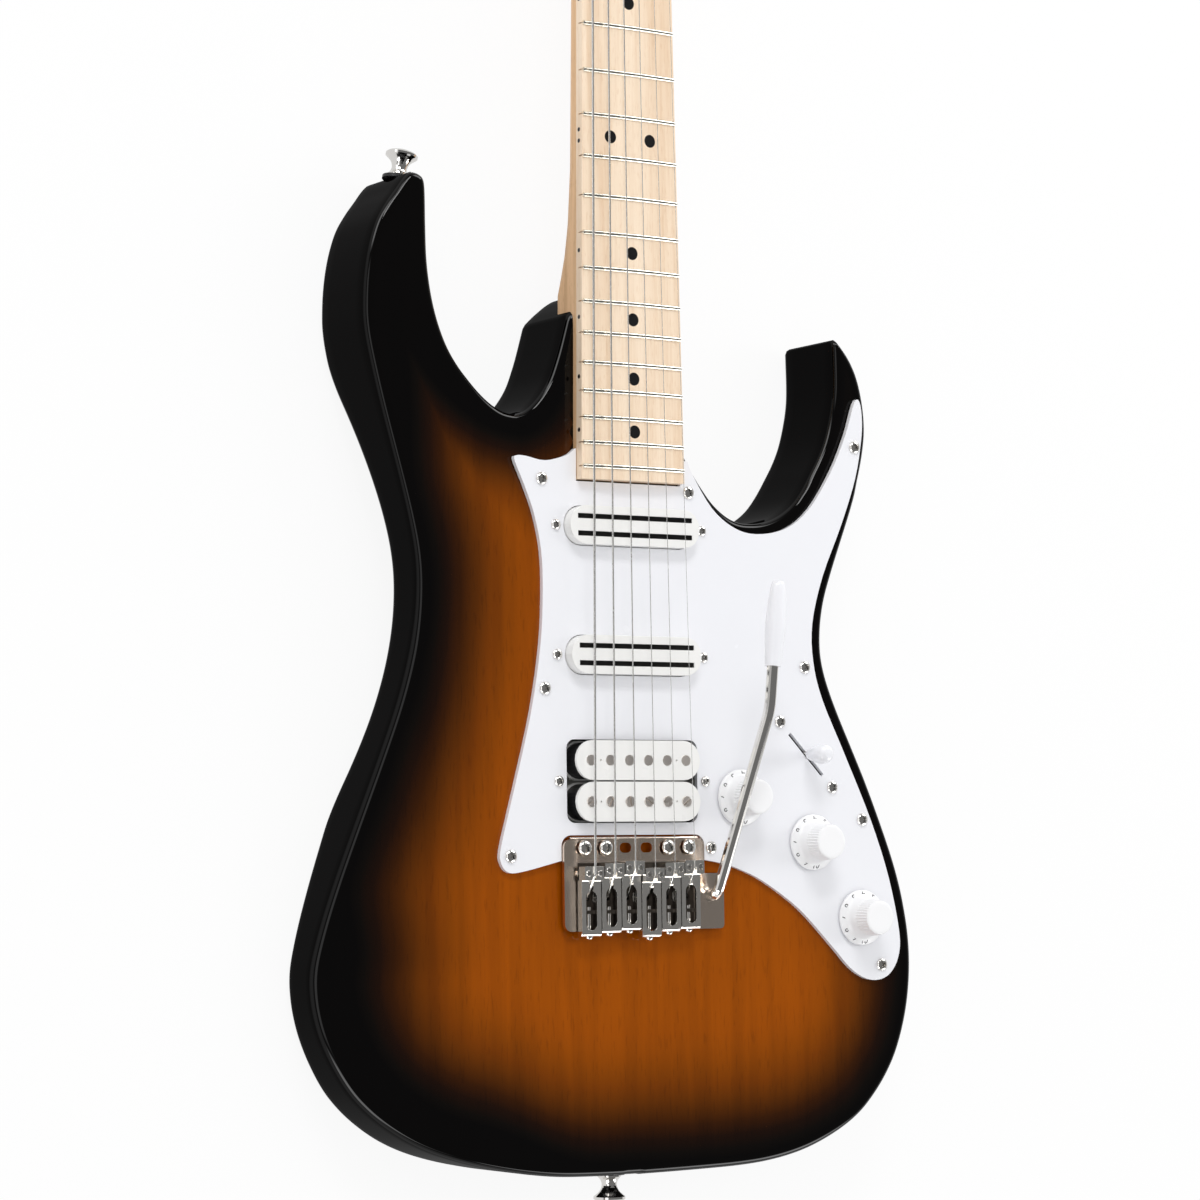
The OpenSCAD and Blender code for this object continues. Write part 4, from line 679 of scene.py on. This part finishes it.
neck_maple = maple("maple", (0.84, 0.54, 0.30), (0.58, 0.33, 0.155), 0.42)
board_maple = maple("pale_maple", (0.96, 0.79, 0.61), (0.80, 0.58, 0.39), 0.36)
clothe(neck_maple, "neck")
clothe(board_maple, "fretboard")
clothe(plastic("black_inlay", (0.006, 0.006, 0.007), 0.3), "inlay_dots")
eased("nut", 0.3, plastic("bone_plastic", (0.80, 0.76, 0.66), 0.4))

# --- Dome-headed screws -----------------------------------------------------------------------
# Plated steel screws with domed heads and cross recesses hold the panels, the pickups, the tuners
# and the bridge. Each is driven home at its own angle, and all are set out from one pattern.
class Jig(Finish):
    """A Geometry Nodes tree with named sizes, which sets out a repeated shape."""

    def __init__(self, name, sizes):
        self.owner = self.tree = bpy.data.node_groups.new(name, "GeometryNodeTree")
        self.tree.interface.new_socket("Geometry", in_out="INPUT", socket_type="NodeSocketGeometry")
        for size in sizes:
            self.tree.interface.new_socket(size, in_out="INPUT", socket_type="NodeSocketFloat")
        self.tree.interface.new_socket("Geometry", in_out="OUTPUT", socket_type="NodeSocketGeometry")
        self.given = self.node("NodeGroupInput")

    def finished(self, shapes, finish):
        """Joins the shapes, makes them real, gives them their finish and ends the tree."""
        joined = self.node("GeometryNodeJoinGeometry")
        for shape in shapes:
            self.tree.links.new(shape.socket, joined.socket.node.inputs[0])
        real = self.node("GeometryNodeRealizeInstances", {}, {0: joined})
        clad = self.node("GeometryNodeSetMaterial", {}, {"Geometry": real, "Material": finish.owner})
        self.node("NodeGroupOutput", {}, {0: clad})

    def placed(self, pattern, share, sizes, chosen=True):
        """A pattern on each chosen point, turned and sized as the point's own values say."""
        shape = self.node("GeometryNodeObjectInfo", {}, {"Object": pattern}).other("Geometry")
        vector = {"data_type": "FLOAT_VECTOR"}
        scale = self.node("GeometryNodeInputNamedAttribute", vector, {"Name": sizes})
        scale = self.node("ShaderNodeVectorMath", {"operation": "SCALE"}, {
            0: scale, "Scale": self.given.other(share)})
        heading = self.node("GeometryNodeInputNamedAttribute", vector, {"Name": "turn"})
        return self.node("GeometryNodeInstanceOnPoints", {}, {
            "Points": self.given.other("Geometry"), "Selection": chosen, "Instance": shape,
            "Rotation": heading, "Scale": scale})

    def make(self, name, carrier, sizes, sharp=40):
        """Runs the tree on a carrier mesh and keeps the plain mesh it gives."""
        piece = set_down(name, carrier)
        setting = piece.modifiers.new(name, "NODES")
        setting.node_group = self.tree
        for item in self.tree.interface.items_tree:
            if item.in_out == "INPUT" and item.name in sizes:
                setting[item.identifier] = float(sizes[item.name])
        piece.data = settled(piece)
        piece.modifiers.clear()
        piece.data.shade_smooth()
        piece.data.set_sharp_from_angle(angle=math.radians(sharp))
        return piece


def mark(carrier, name, values):
    """Gives each point of a carrier mesh its own vector of that name."""
    held = carrier.attributes.new(name, "FLOAT_VECTOR", "POINT")
    held.data.foreach_set("vector", np.ravel(values).astype(np.float32))


def turned(name, profile, sides):
    """A pattern piece turned about Z from (radius, height) pairs, closed at both ends."""
    angles = [2 * math.pi * k / sides for k in range(sides)]
    points = [(r * math.cos(a), r * math.sin(a), z) for r, z in profile for a in angles]
    return solid(name, points, lathe_faces(len(profile), sides))


def islands(node):
    """The corners of each separate solid of a node, in millimetres."""
    bm = bmesh.new()
    bm.from_mesh(frame["nodes"][node].data)
    bmesh.ops.remove_doubles(bm, verts=bm.verts, dist=weld)
    left, found = set(bm.verts), []
    while left:
        group, edge = set(), [left.pop()]
        while edge:
            vert = edge.pop()
            group.add(vert)
            near = {e.other_vert(vert) for e in vert.link_edges} & left
            left -= near
            edge += near
        found.append(np.array([v.co[:] for v in group]) / MM)
    bm.free()
    return sorted(found, key=lambda spots: tuple(np.round(spots.mean(0), 2)))


def screw_places(node):
    """Each upright screw of a node: its axis, where its head sits, and the sizes of head and shank."""
    places, rim_band = [], 0.05
    for spots in islands(node):
        low, high = spots.min(0), spots.max(0)
        centre = (low + high) / 2
        gap = np.hypot(spots[:, 0] - centre[0], spots[:, 1] - centre[1])
        seat = spots[gap > gap.max() - rim_band][:, 2].mean()
        up = 1 if high[2] - seat < seat - low[2] else -1
        top, tail = (high[2], low[2]) if up > 0 else (low[2], high[2])
        shank = gap[np.abs(spots[:, 2] - tail) < abs(seat - tail) * 0.5].max()
        places.append((centre[0], centre[1], seat, up,
                       gap.max(), abs(top - seat), shank, abs(seat - tail)))
    return places


# Half the outline of a domed head, in shares of its radius and its height.
foot = 0.14
crown = [(math.cos(a), foot + (1 - foot) * math.sin(a)) for a in np.linspace(0.12, 1.35, 9)]
dome = [(0.97, 0.0), (1.0, 0.06), (0.995, foot)] + crown + [(0.08, 1.0)]
head = turned("screw_head", [(r / MM, z / MM) for r, z in dome], 32)
# The cross recess is two crossed wedges, narrower at their foot: height, half length, half width.
wedge = ((0.34, 0.26, 0.06), (1.2, 0.56, 0.12))
recess = []
for turn in (0, math.pi / 2):
    wings = [(s * x, t * y, z) for z, x, y in wedge for s in (-1, 1) for t in (-1, 1)]
    wings = [(x * math.cos(turn) - y * math.sin(turn), x * math.sin(turn) + y * math.cos(turn), z)
             for x, y, z in wings]
    recess.append(solid("recess", [(x / MM, y / MM, z / MM) for x, y, z in wings], block_sides))
cut_away(head, recess)
shank_profile = [(1.0 / MM, -1.0 / MM), (1.0 / MM, 0.02 / MM)]
shank_pattern = turned("screw_shank", shank_profile, 12)

screw_jig = Jig("screw_jig", ("Head Share", "Shank Share"))
parts = [screw_jig.placed(head, "Head Share", "head_size"),
         screw_jig.placed(shank_pattern, "Shank Share", "shank_size")]
chrome = metal("chrome", (0.86, 0.84, 0.81), 0.05)
screw_jig.finished(parts, chrome)
for node in ("panel_screws", "pickup_screws", "bridge_screws"):
    places = screw_places(node)
    carrier = mesh_of(node + "_domed", [place[:3] for place in places])
    turns = [(0 if up > 0 else math.pi, 0, 0.5 + 2.4 * k) for k, (_, _, _, up, *_) in enumerate(places)]
    heads = [(radius * MM, radius * MM, tall * MM) for *_, radius, tall, _, _ in places]
    shanks = [(shank * MM, shank * MM, deep * MM) for *_, shank, deep in places]
    for name, values in (("turn", turns), ("head_size", heads), ("shank_size", shanks)):
        mark(carrier, name, values)
    domed = screw_jig.make(node + "_domed", carrier, {"Head Share": 1.0, "Shank Share": 1.0})
    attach(domed, "instrument")
    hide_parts(node)
for pattern in (head, shank_pattern):
    bpy.data.objects.remove(pattern)

# --- Frets ------------------------------------------------------------------------------------
# Each fret is a length of round-crowned nickel-silver wire, bent to the board's radius, pressed
# into its slot, levelled and polished along its length.
fret_jig = Jig("fret_jig", ("Crown Radius",))
crown = fret_jig.node("GeometryNodeCurvePrimitiveCircle", {}, {
    "Resolution": 20, "Radius": fret_jig.given.other("Crown Radius")})
bent = fret_jig.node("GeometryNodeMeshToCurve", {}, {"Mesh": fret_jig.given.other("Geometry")})
wire = fret_jig.node("GeometryNodeCurveToMesh", {}, {
    "Curve": bent, "Profile Curve": crown, "Fill Caps": True})
fret_metal = metal("fret_metal", (0.74, 0.72, 0.64), 0.16, 0.01, (0.05, 1.0, 1.0))
fret_jig.finished([wire], fret_metal)
crown_radius, fret_steps, end_trim, end_share = 1.15, 16, 0.1, 0.97
spots, runs = [], []
for fret in islands("frets"):
    low, high = fret.min(0), fret.max(0)
    end_top = fret[np.abs(fret[:, 0]) > high[0] * end_share][:, 2].max()
    for k in range(fret_steps + 1):
        across = 2 * k / fret_steps - 1
        height = high[2] - (high[2] - end_top) * across**2 - crown_radius
        spots.append((across * (high[0] - end_trim), (low[1] + high[1]) / 2, height))
        if k:
            runs.append((len(spots) - 2, len(spots) - 1))
fret_lines = mesh_of("frets_crowned", spots, runs)
crowned = fret_jig.make("frets_crowned", fret_lines, {"Crown Radius": crown_radius * MM}, 50)
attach(crowned, "instrument")
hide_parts("frets")

# --- Pickguard --------------------------------------------------------------------------------
# One sheet of white plastic is cut to shape with a bevelled edge and holes for the pickups and
# controls. It lies flat on the face under its screws.
white_plastic = plastic("white_plastic", (0.905, 0.910, 0.945), 0.20, 0.008, 0.02, 0.25)
eased("pickguard", 0.5, white_plastic, angle=50)

# --- Pickups ----------------------------------------------------------------------------------
# Two single coils have moulded covers, each with a pair of blades showing. The bridge pickup is two
# bobbins side by side, one with plain slugs and one with slotted screws, hung on sprung screws.
cream = plastic("bobbin_plastic", (0.91, 0.905, 0.885), 0.24, 0.01, 0.02, 0.2)
eased("single_pickup_covers", 0.7, cream, angle=45, segments=3)
eased("humbucker_bobbins", 0.5, cream, angle=45, segments=3)
steel = metal("plain_steel", (0.50, 0.485, 0.465), 0.34, 0.06)
clothe(steel, "humbucker_baseplate", "truss_rod", "pot_housings")
clothe(metal("pole_steel", (0.86, 0.80, 0.75), 0.40, 0.02), "humbucker_poles")
clothe(metal("blackened_steel", (0.035, 0.034, 0.033), 0.35, 0.02), "pickup_blades")
black_plastic = plastic("black_plastic", (0.012, 0.012, 0.013), 0.38)
clothe(black_plastic, "pickup_coils", "selector_switch")

# --- Bridge and tremolo arm -------------------------------------------------------------------
# A nickel-plated steel plate rocks on four of six possible screws over a heavy block. Six bent
# steel saddles sit on grub screws, and the arm is a chromed rod with a moulded tip.
# The plate's colour is painted darker under the saddles, as their shade.
nickel = metal("nickel_plate", (0.86, 0.73, 0.62), 0.19, under="saddles")
eased("bridge_plate", 0.4, nickel, "tremolo")
polished_nickel = metal("polished_nickel", (0.98, 0.95, 0.90), 0.14)
eased("saddles", 0.5, polished_nickel, "tremolo", bends=1.5)
grub_profile = [(0.90, -1.0), (1.0, -0.95), (1.0, -0.06), (0.96, -0.02), (0.86, 0.0)]
grub = turned("grub_screw", [(r / MM, z / MM) for r, z in grub_profile], 24)
socket_side, socket_floor = 0.58, -0.16
hexagon = [(socket_side * math.cos(a) / MM, socket_side * math.sin(a) / MM)
           for a in (math.radians(60 * k) for k in range(6))]
cut_away(grub, [prism("key_socket", hexagon, socket_floor / MM, 1 / MM)])
saddle_jig = Jig("saddle_jig", ("Grub Share", "Tuning Share"))
ones = saddle_jig.node("GeometryNodeInputNamedAttribute", {"data_type": "FLOAT"}, {"Name": "tuning"})
tuning_head = turned("tuning_head", [(r / MM, z / MM) for r, z in dome], 24)
tuning_shank = turned("tuning_shank", shank_profile, 12)
parts = [saddle_jig.placed(grub, "Grub Share", "head_size", ones.sum("LESS_THAN", ones, 0.5)),
         saddle_jig.placed(tuning_head, "Tuning Share", "head_size", ones > 0.5),
         saddle_jig.placed(tuning_shank, "Tuning Share", "shank_size", ones > 0.5)]
saddle_jig.finished(parts, chrome)
# An upright solid of the node is a grub screw, and one that lies along the saddle tunes its string.
rows, head_length, thread_radius = [], 1.6, 1.0
for k, spots in enumerate(islands("saddle_screws")):
    low, high = spots.min(0), spots.max(0)
    middle = (low + high) / 2
    radius = (high[0] - low[0]) / 2
    if high[1] - low[1] < high[0] - low[0] + 0.5:
        rows.append(((middle[0], middle[1], high[2]), 0.0, (0, 0, 0.7 * k),
                     (radius, radius, high[2] - low[2]), (1, 1, 1)))
    else:
        rows.append(((middle[0], low[1] + head_length, middle[2]), 1.0, (math.pi / 2, 0, 0),
                     (radius, radius, head_length),
                     (thread_radius, thread_radius, high[1] - low[1] - head_length)))
carrier = mesh_of("saddle_screws_turned", [row[0] for row in rows])
carrier.attributes.new("tuning", "FLOAT", "POINT").data.foreach_set("value", [row[1] for row in rows])
for name, column, unit in (("turn", 2, 1), ("head_size", 3, MM), ("shank_size", 4, MM)):
    mark(carrier, name, [[v * unit for v in row[column]] for row in rows])
shares = {"Grub Share": 1.0, "Tuning Share": 1.0}
saddle_screws = saddle_jig.make("saddle_screws_turned", carrier, shares)
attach(saddle_screws, "tremolo")
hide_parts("saddle_screws")
for pattern in (grub, tuning_head, tuning_shank):
    bpy.data.objects.remove(pattern)
clothe(chrome, "block_screws", "tremolo_arm")
eased("bridge_block", 0.5, steel, "tremolo")
clothe(white_plastic, "arm_tip")

# --- Controls ---------------------------------------------------------------------------------
# Three moulded knobs push on to the shafts of their pots. Each has a skirt printed with 1 to 10 and
# a ribbed grip, and its outline is given from the foot up, as radius and height. A five-way lever
# switch has a tip of the same plastic.
knob_points = ((13.0, 0.0), (13.0, 0.75), (12.75, 1.1), (12.2, 1.42), (11.2, 1.9), (10.3, 2.45),
               (9.7, 3.1), (9.25, 4.0), (8.95, 5.2), (8.78, 6.3), (8.62, 6.55), (8.58, 6.9),
               (8.50, 8.2), (8.38, 10.0), (8.27, 11.8), (8.17, 13.4), (8.08, 13.95), (7.85, 14.45),
               (7.4, 14.8), (6.7, 14.92), (5.2, 14.86), (3.0, 14.80), (0.4, 14.78))
grip_foot, grip_top = 6.9, 13.95
ribs, rib_depth, rib_steps, rib_sharpness = 40, 0.32, 6, 0.7
spokes = ribs * rib_steps


def knob_mesh(name, centre, foot):
    """One knob turned about its shaft, with the grip's ribs let into its side."""
    points = []
    for radius, height in knob_points:
        gripped = grip_foot <= height <= grip_top
        for k in range(spokes):
            wave = 0.5 - 0.5 * math.cos(2 * math.pi * k / rib_steps)
            dip = rib_depth * wave**rib_sharpness if gripped else 0
            angle = 2 * math.pi * k / spokes
            points.append((centre[0] + (radius - dip) * math.cos(angle),
                           centre[1] + (radius - dip) * math.sin(angle), foot + height))
    knob = solid(name, points, lathe_faces(len(knob_points), spokes))
    knob.data.shade_smooth()
    knob.data.set_sharp_from_angle(angle=math.radians(50))
    return knob


knob_plastic = plastic("knob_plastic", (0.955, 0.955, 0.965), 0.30, 0.006, 0.02, 0.1)
grey_print = plastic("grey_print", (0.045, 0.045, 0.05), 0.5)
number_size, number_radius, number_rise, number_lean = 4.1, 11.1, 1.92, math.radians(24)
number_step, straight_up = 30, 7
knob_height = 15
for control in ("volume", "upper_tone", "lower_tone"):
    node, turned_by = control + "_knob", control + "_control"
    low, high = (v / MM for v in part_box(node))
    centre = (low + high) / 2
    foot = high.z - knob_height
    knob = knob_mesh(node + "_ribbed", centre, foot)
    paint(knob.data, knob_plastic)
    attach(knob, turned_by)
    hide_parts(node)
    digits = bmesh.new()
    for number in range(1, 11):
        lettering = bpy.data.curves.new("number", "FONT")
        lettering.body = str(number)
        lettering.size = number_size
        lettering.align_x = lettering.align_y = "CENTER"
        lettering.extrude = 0.05
        lettering.resolution_u = 3
        stamp = set_down("number", lettering)
        bpy.context.view_layer.update()
        figure = settled(stamp)
        bpy.data.objects.remove(stamp)
        bearing_angle = math.radians(180 + number_step * (number - straight_up))
        figure.transform(
            Matrix.Scale(MM, 4)
            @ Matrix.Translation((centre.x, centre.y, foot + number_rise))
            @ Matrix.Rotation(bearing_angle, 4, "Z")
            @ Matrix.Translation((number_radius, 0, 0))
            @ Matrix.Rotation(number_lean, 4, "Y")
            @ Matrix.Rotation(math.radians(90), 4, "Z"))
        digits.from_mesh(figure)
    printed = bpy.data.meshes.new(node + "_numbers")
    digits.to_mesh(printed)
    digits.free()
    numbers = set_down(node + "_numbers", printed)
    paint(printed, grey_print)
    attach(numbers, turned_by)
clothe(white_plastic, "selector_tip")
clothe(chrome, "hex_nuts", "selector_lever")
clothe(plastic("green_film", (0.03, 0.10, 0.04), 0.35), "tone_capacitor")

# --- Back, edge and output --------------------------------------------------------------------
# A black cover screws over the tremolo's springs, which pull from a claw in the body. The output
# plate is let into the edge, and strap buttons stand at the horn and the tail.
eased("spring_cover", 0.3, black_plastic)
eased("jack_plate", 0.4, black_plastic)
clothe(black_plastic, "strap_washers")
clothe(steel, "spring_claw")
spring_jig = Jig("spring_jig", (
    "Coil Radius", "Wire Radius", "Coil Length", "Turns", "Front Reach", "Rear Reach", "Hook Rise"))
given = spring_jig.given.other


def spring_run(ends):
    """One straight length of wire between two points, each made of three sizes."""
    start, end = (spring_jig.node("ShaderNodeCombineXYZ", {}, {0: x, 1: y, 2: z}) for x, y, z in ends)
    return spring_jig.node("GeometryNodeCurvePrimitiveLine", {}, {"Start": start, "End": end})


coil = spring_jig.node("GeometryNodeCurveSpiral", {}, {
    "Resolution": 20, "Rotations": given("Turns"), "Start Radius": given("Coil Radius"),
    "End Radius": given("Coil Radius"), "Height": given("Coil Length")})
raised, hook_foot, hook_depth = 0 - given("Hook Rise"), 0.0006, 0.0080
front_hook = spring_run(((0.0, 0.0, given("Front Reach")), (0.0, raised, hook_foot)))
rear_hook = spring_run(((0.0, raised, given("Coil Length")), (0.0, raised, given("Rear Reach"))))
upright_hook = spring_run(((0.0, 0.0, given("Front Reach")), (0.0, -hook_depth, given("Front Reach"))))
section = spring_jig.node("GeometryNodeCurvePrimitiveCircle", {}, {
    "Resolution": 8, "Radius": given("Wire Radius")})
wires = [spring_jig.node("GeometryNodeCurveToMesh", {}, {
    "Curve": run, "Profile Curve": section, "Fill Caps": True})
    for run in (coil, front_hook, rear_hook, upright_hook)]
spring = spring_jig.node("GeometryNodeJoinGeometry")
for wire in wires:
    spring_jig.tree.links.new(wire.socket, spring.socket.node.inputs[0])
spring_jig.finished([spring_jig.node("GeometryNodeInstanceOnPoints", {}, {
    "Points": given("Geometry"), "Instance": spring, "Rotation": (-math.pi / 2, 0, 0)})], steel)
low, high = (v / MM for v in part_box("tremolo_springs"))
coil_foot, coil_radius, wire_radius = 2.0, 3.7, 0.58
middle = low.z + coil_radius
axes = (low.x + coil_radius, (low.x + high.x) / 2, high.x - coil_radius)
anchors = mesh_of("tremolo_springs_wound", [(x, coil_foot, middle) for x in axes])
springs = spring_jig.make("tremolo_springs_wound", anchors, {
    "Coil Radius": (coil_radius - wire_radius) * MM, "Wire Radius": wire_radius * MM,
    "Coil Length": 0.070, "Turns": 56.0, "Front Reach": (low.y + 0.6 - coil_foot) * MM,
    "Rear Reach": (high.y - coil_foot) * MM, "Hook Rise": 0.003})
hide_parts("tremolo_springs")
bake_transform(springs)
clothe(chrome, "long_wood_screws", "neck_bolts", "neck_ferrules", "output_jack", "strap_buttons")

# --- Headstock fittings -----------------------------------------------------------------------
# Six enclosed tuners stand in line, each with a worm that turns its post one turn in fifteen. The
# truss rod's end hides under a small cover, and two trees hold the thin strings down.
eased("tuner_housings", 0.5, chrome)
eased("truss_rod_cover", 0.3, black_plastic)
turning = [f"{part}_{i}" for part in ("tuner_key", "string_post") for i in range(1, 7)]
clothe(chrome, "string_trees", *turning)

# --- Strings ----------------------------------------------------------------------------------
# Three plain steel strings and three wound with round nickel-plated wire run from the block, over
# the saddles and the nut, to the posts.
strings = set_down("strings_strung", frame["nodes"]["strings"].data.copy())
bm = bmesh.new()
bm.from_mesh(strings.data)
bmesh.ops.remove_doubles(bm, verts=bm.verts, dist=weld)
# A few rings are let into the strings where they cross the bridge's rocking edge.
rocking_edge = 13.3
for y in np.arange(rocking_edge - 14, rocking_edge + 15, 2.0):
    bmesh.ops.bisect_plane(bm, geom=bm.verts[:] + bm.edges[:] + bm.faces[:], dist=1e-7,
                           plane_co=(0, y * MM, 0), plane_no=(0, 1, 0))
bm.to_mesh(strings.data)
bm.free()
strings.data.shade_smooth()
strings.data.set_sharp_from_angle(angle=math.radians(50))
paint(strings.data, metal("string_steel", (0.92, 0.91, 0.89), 0.24))
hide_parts("strings")
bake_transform(strings)
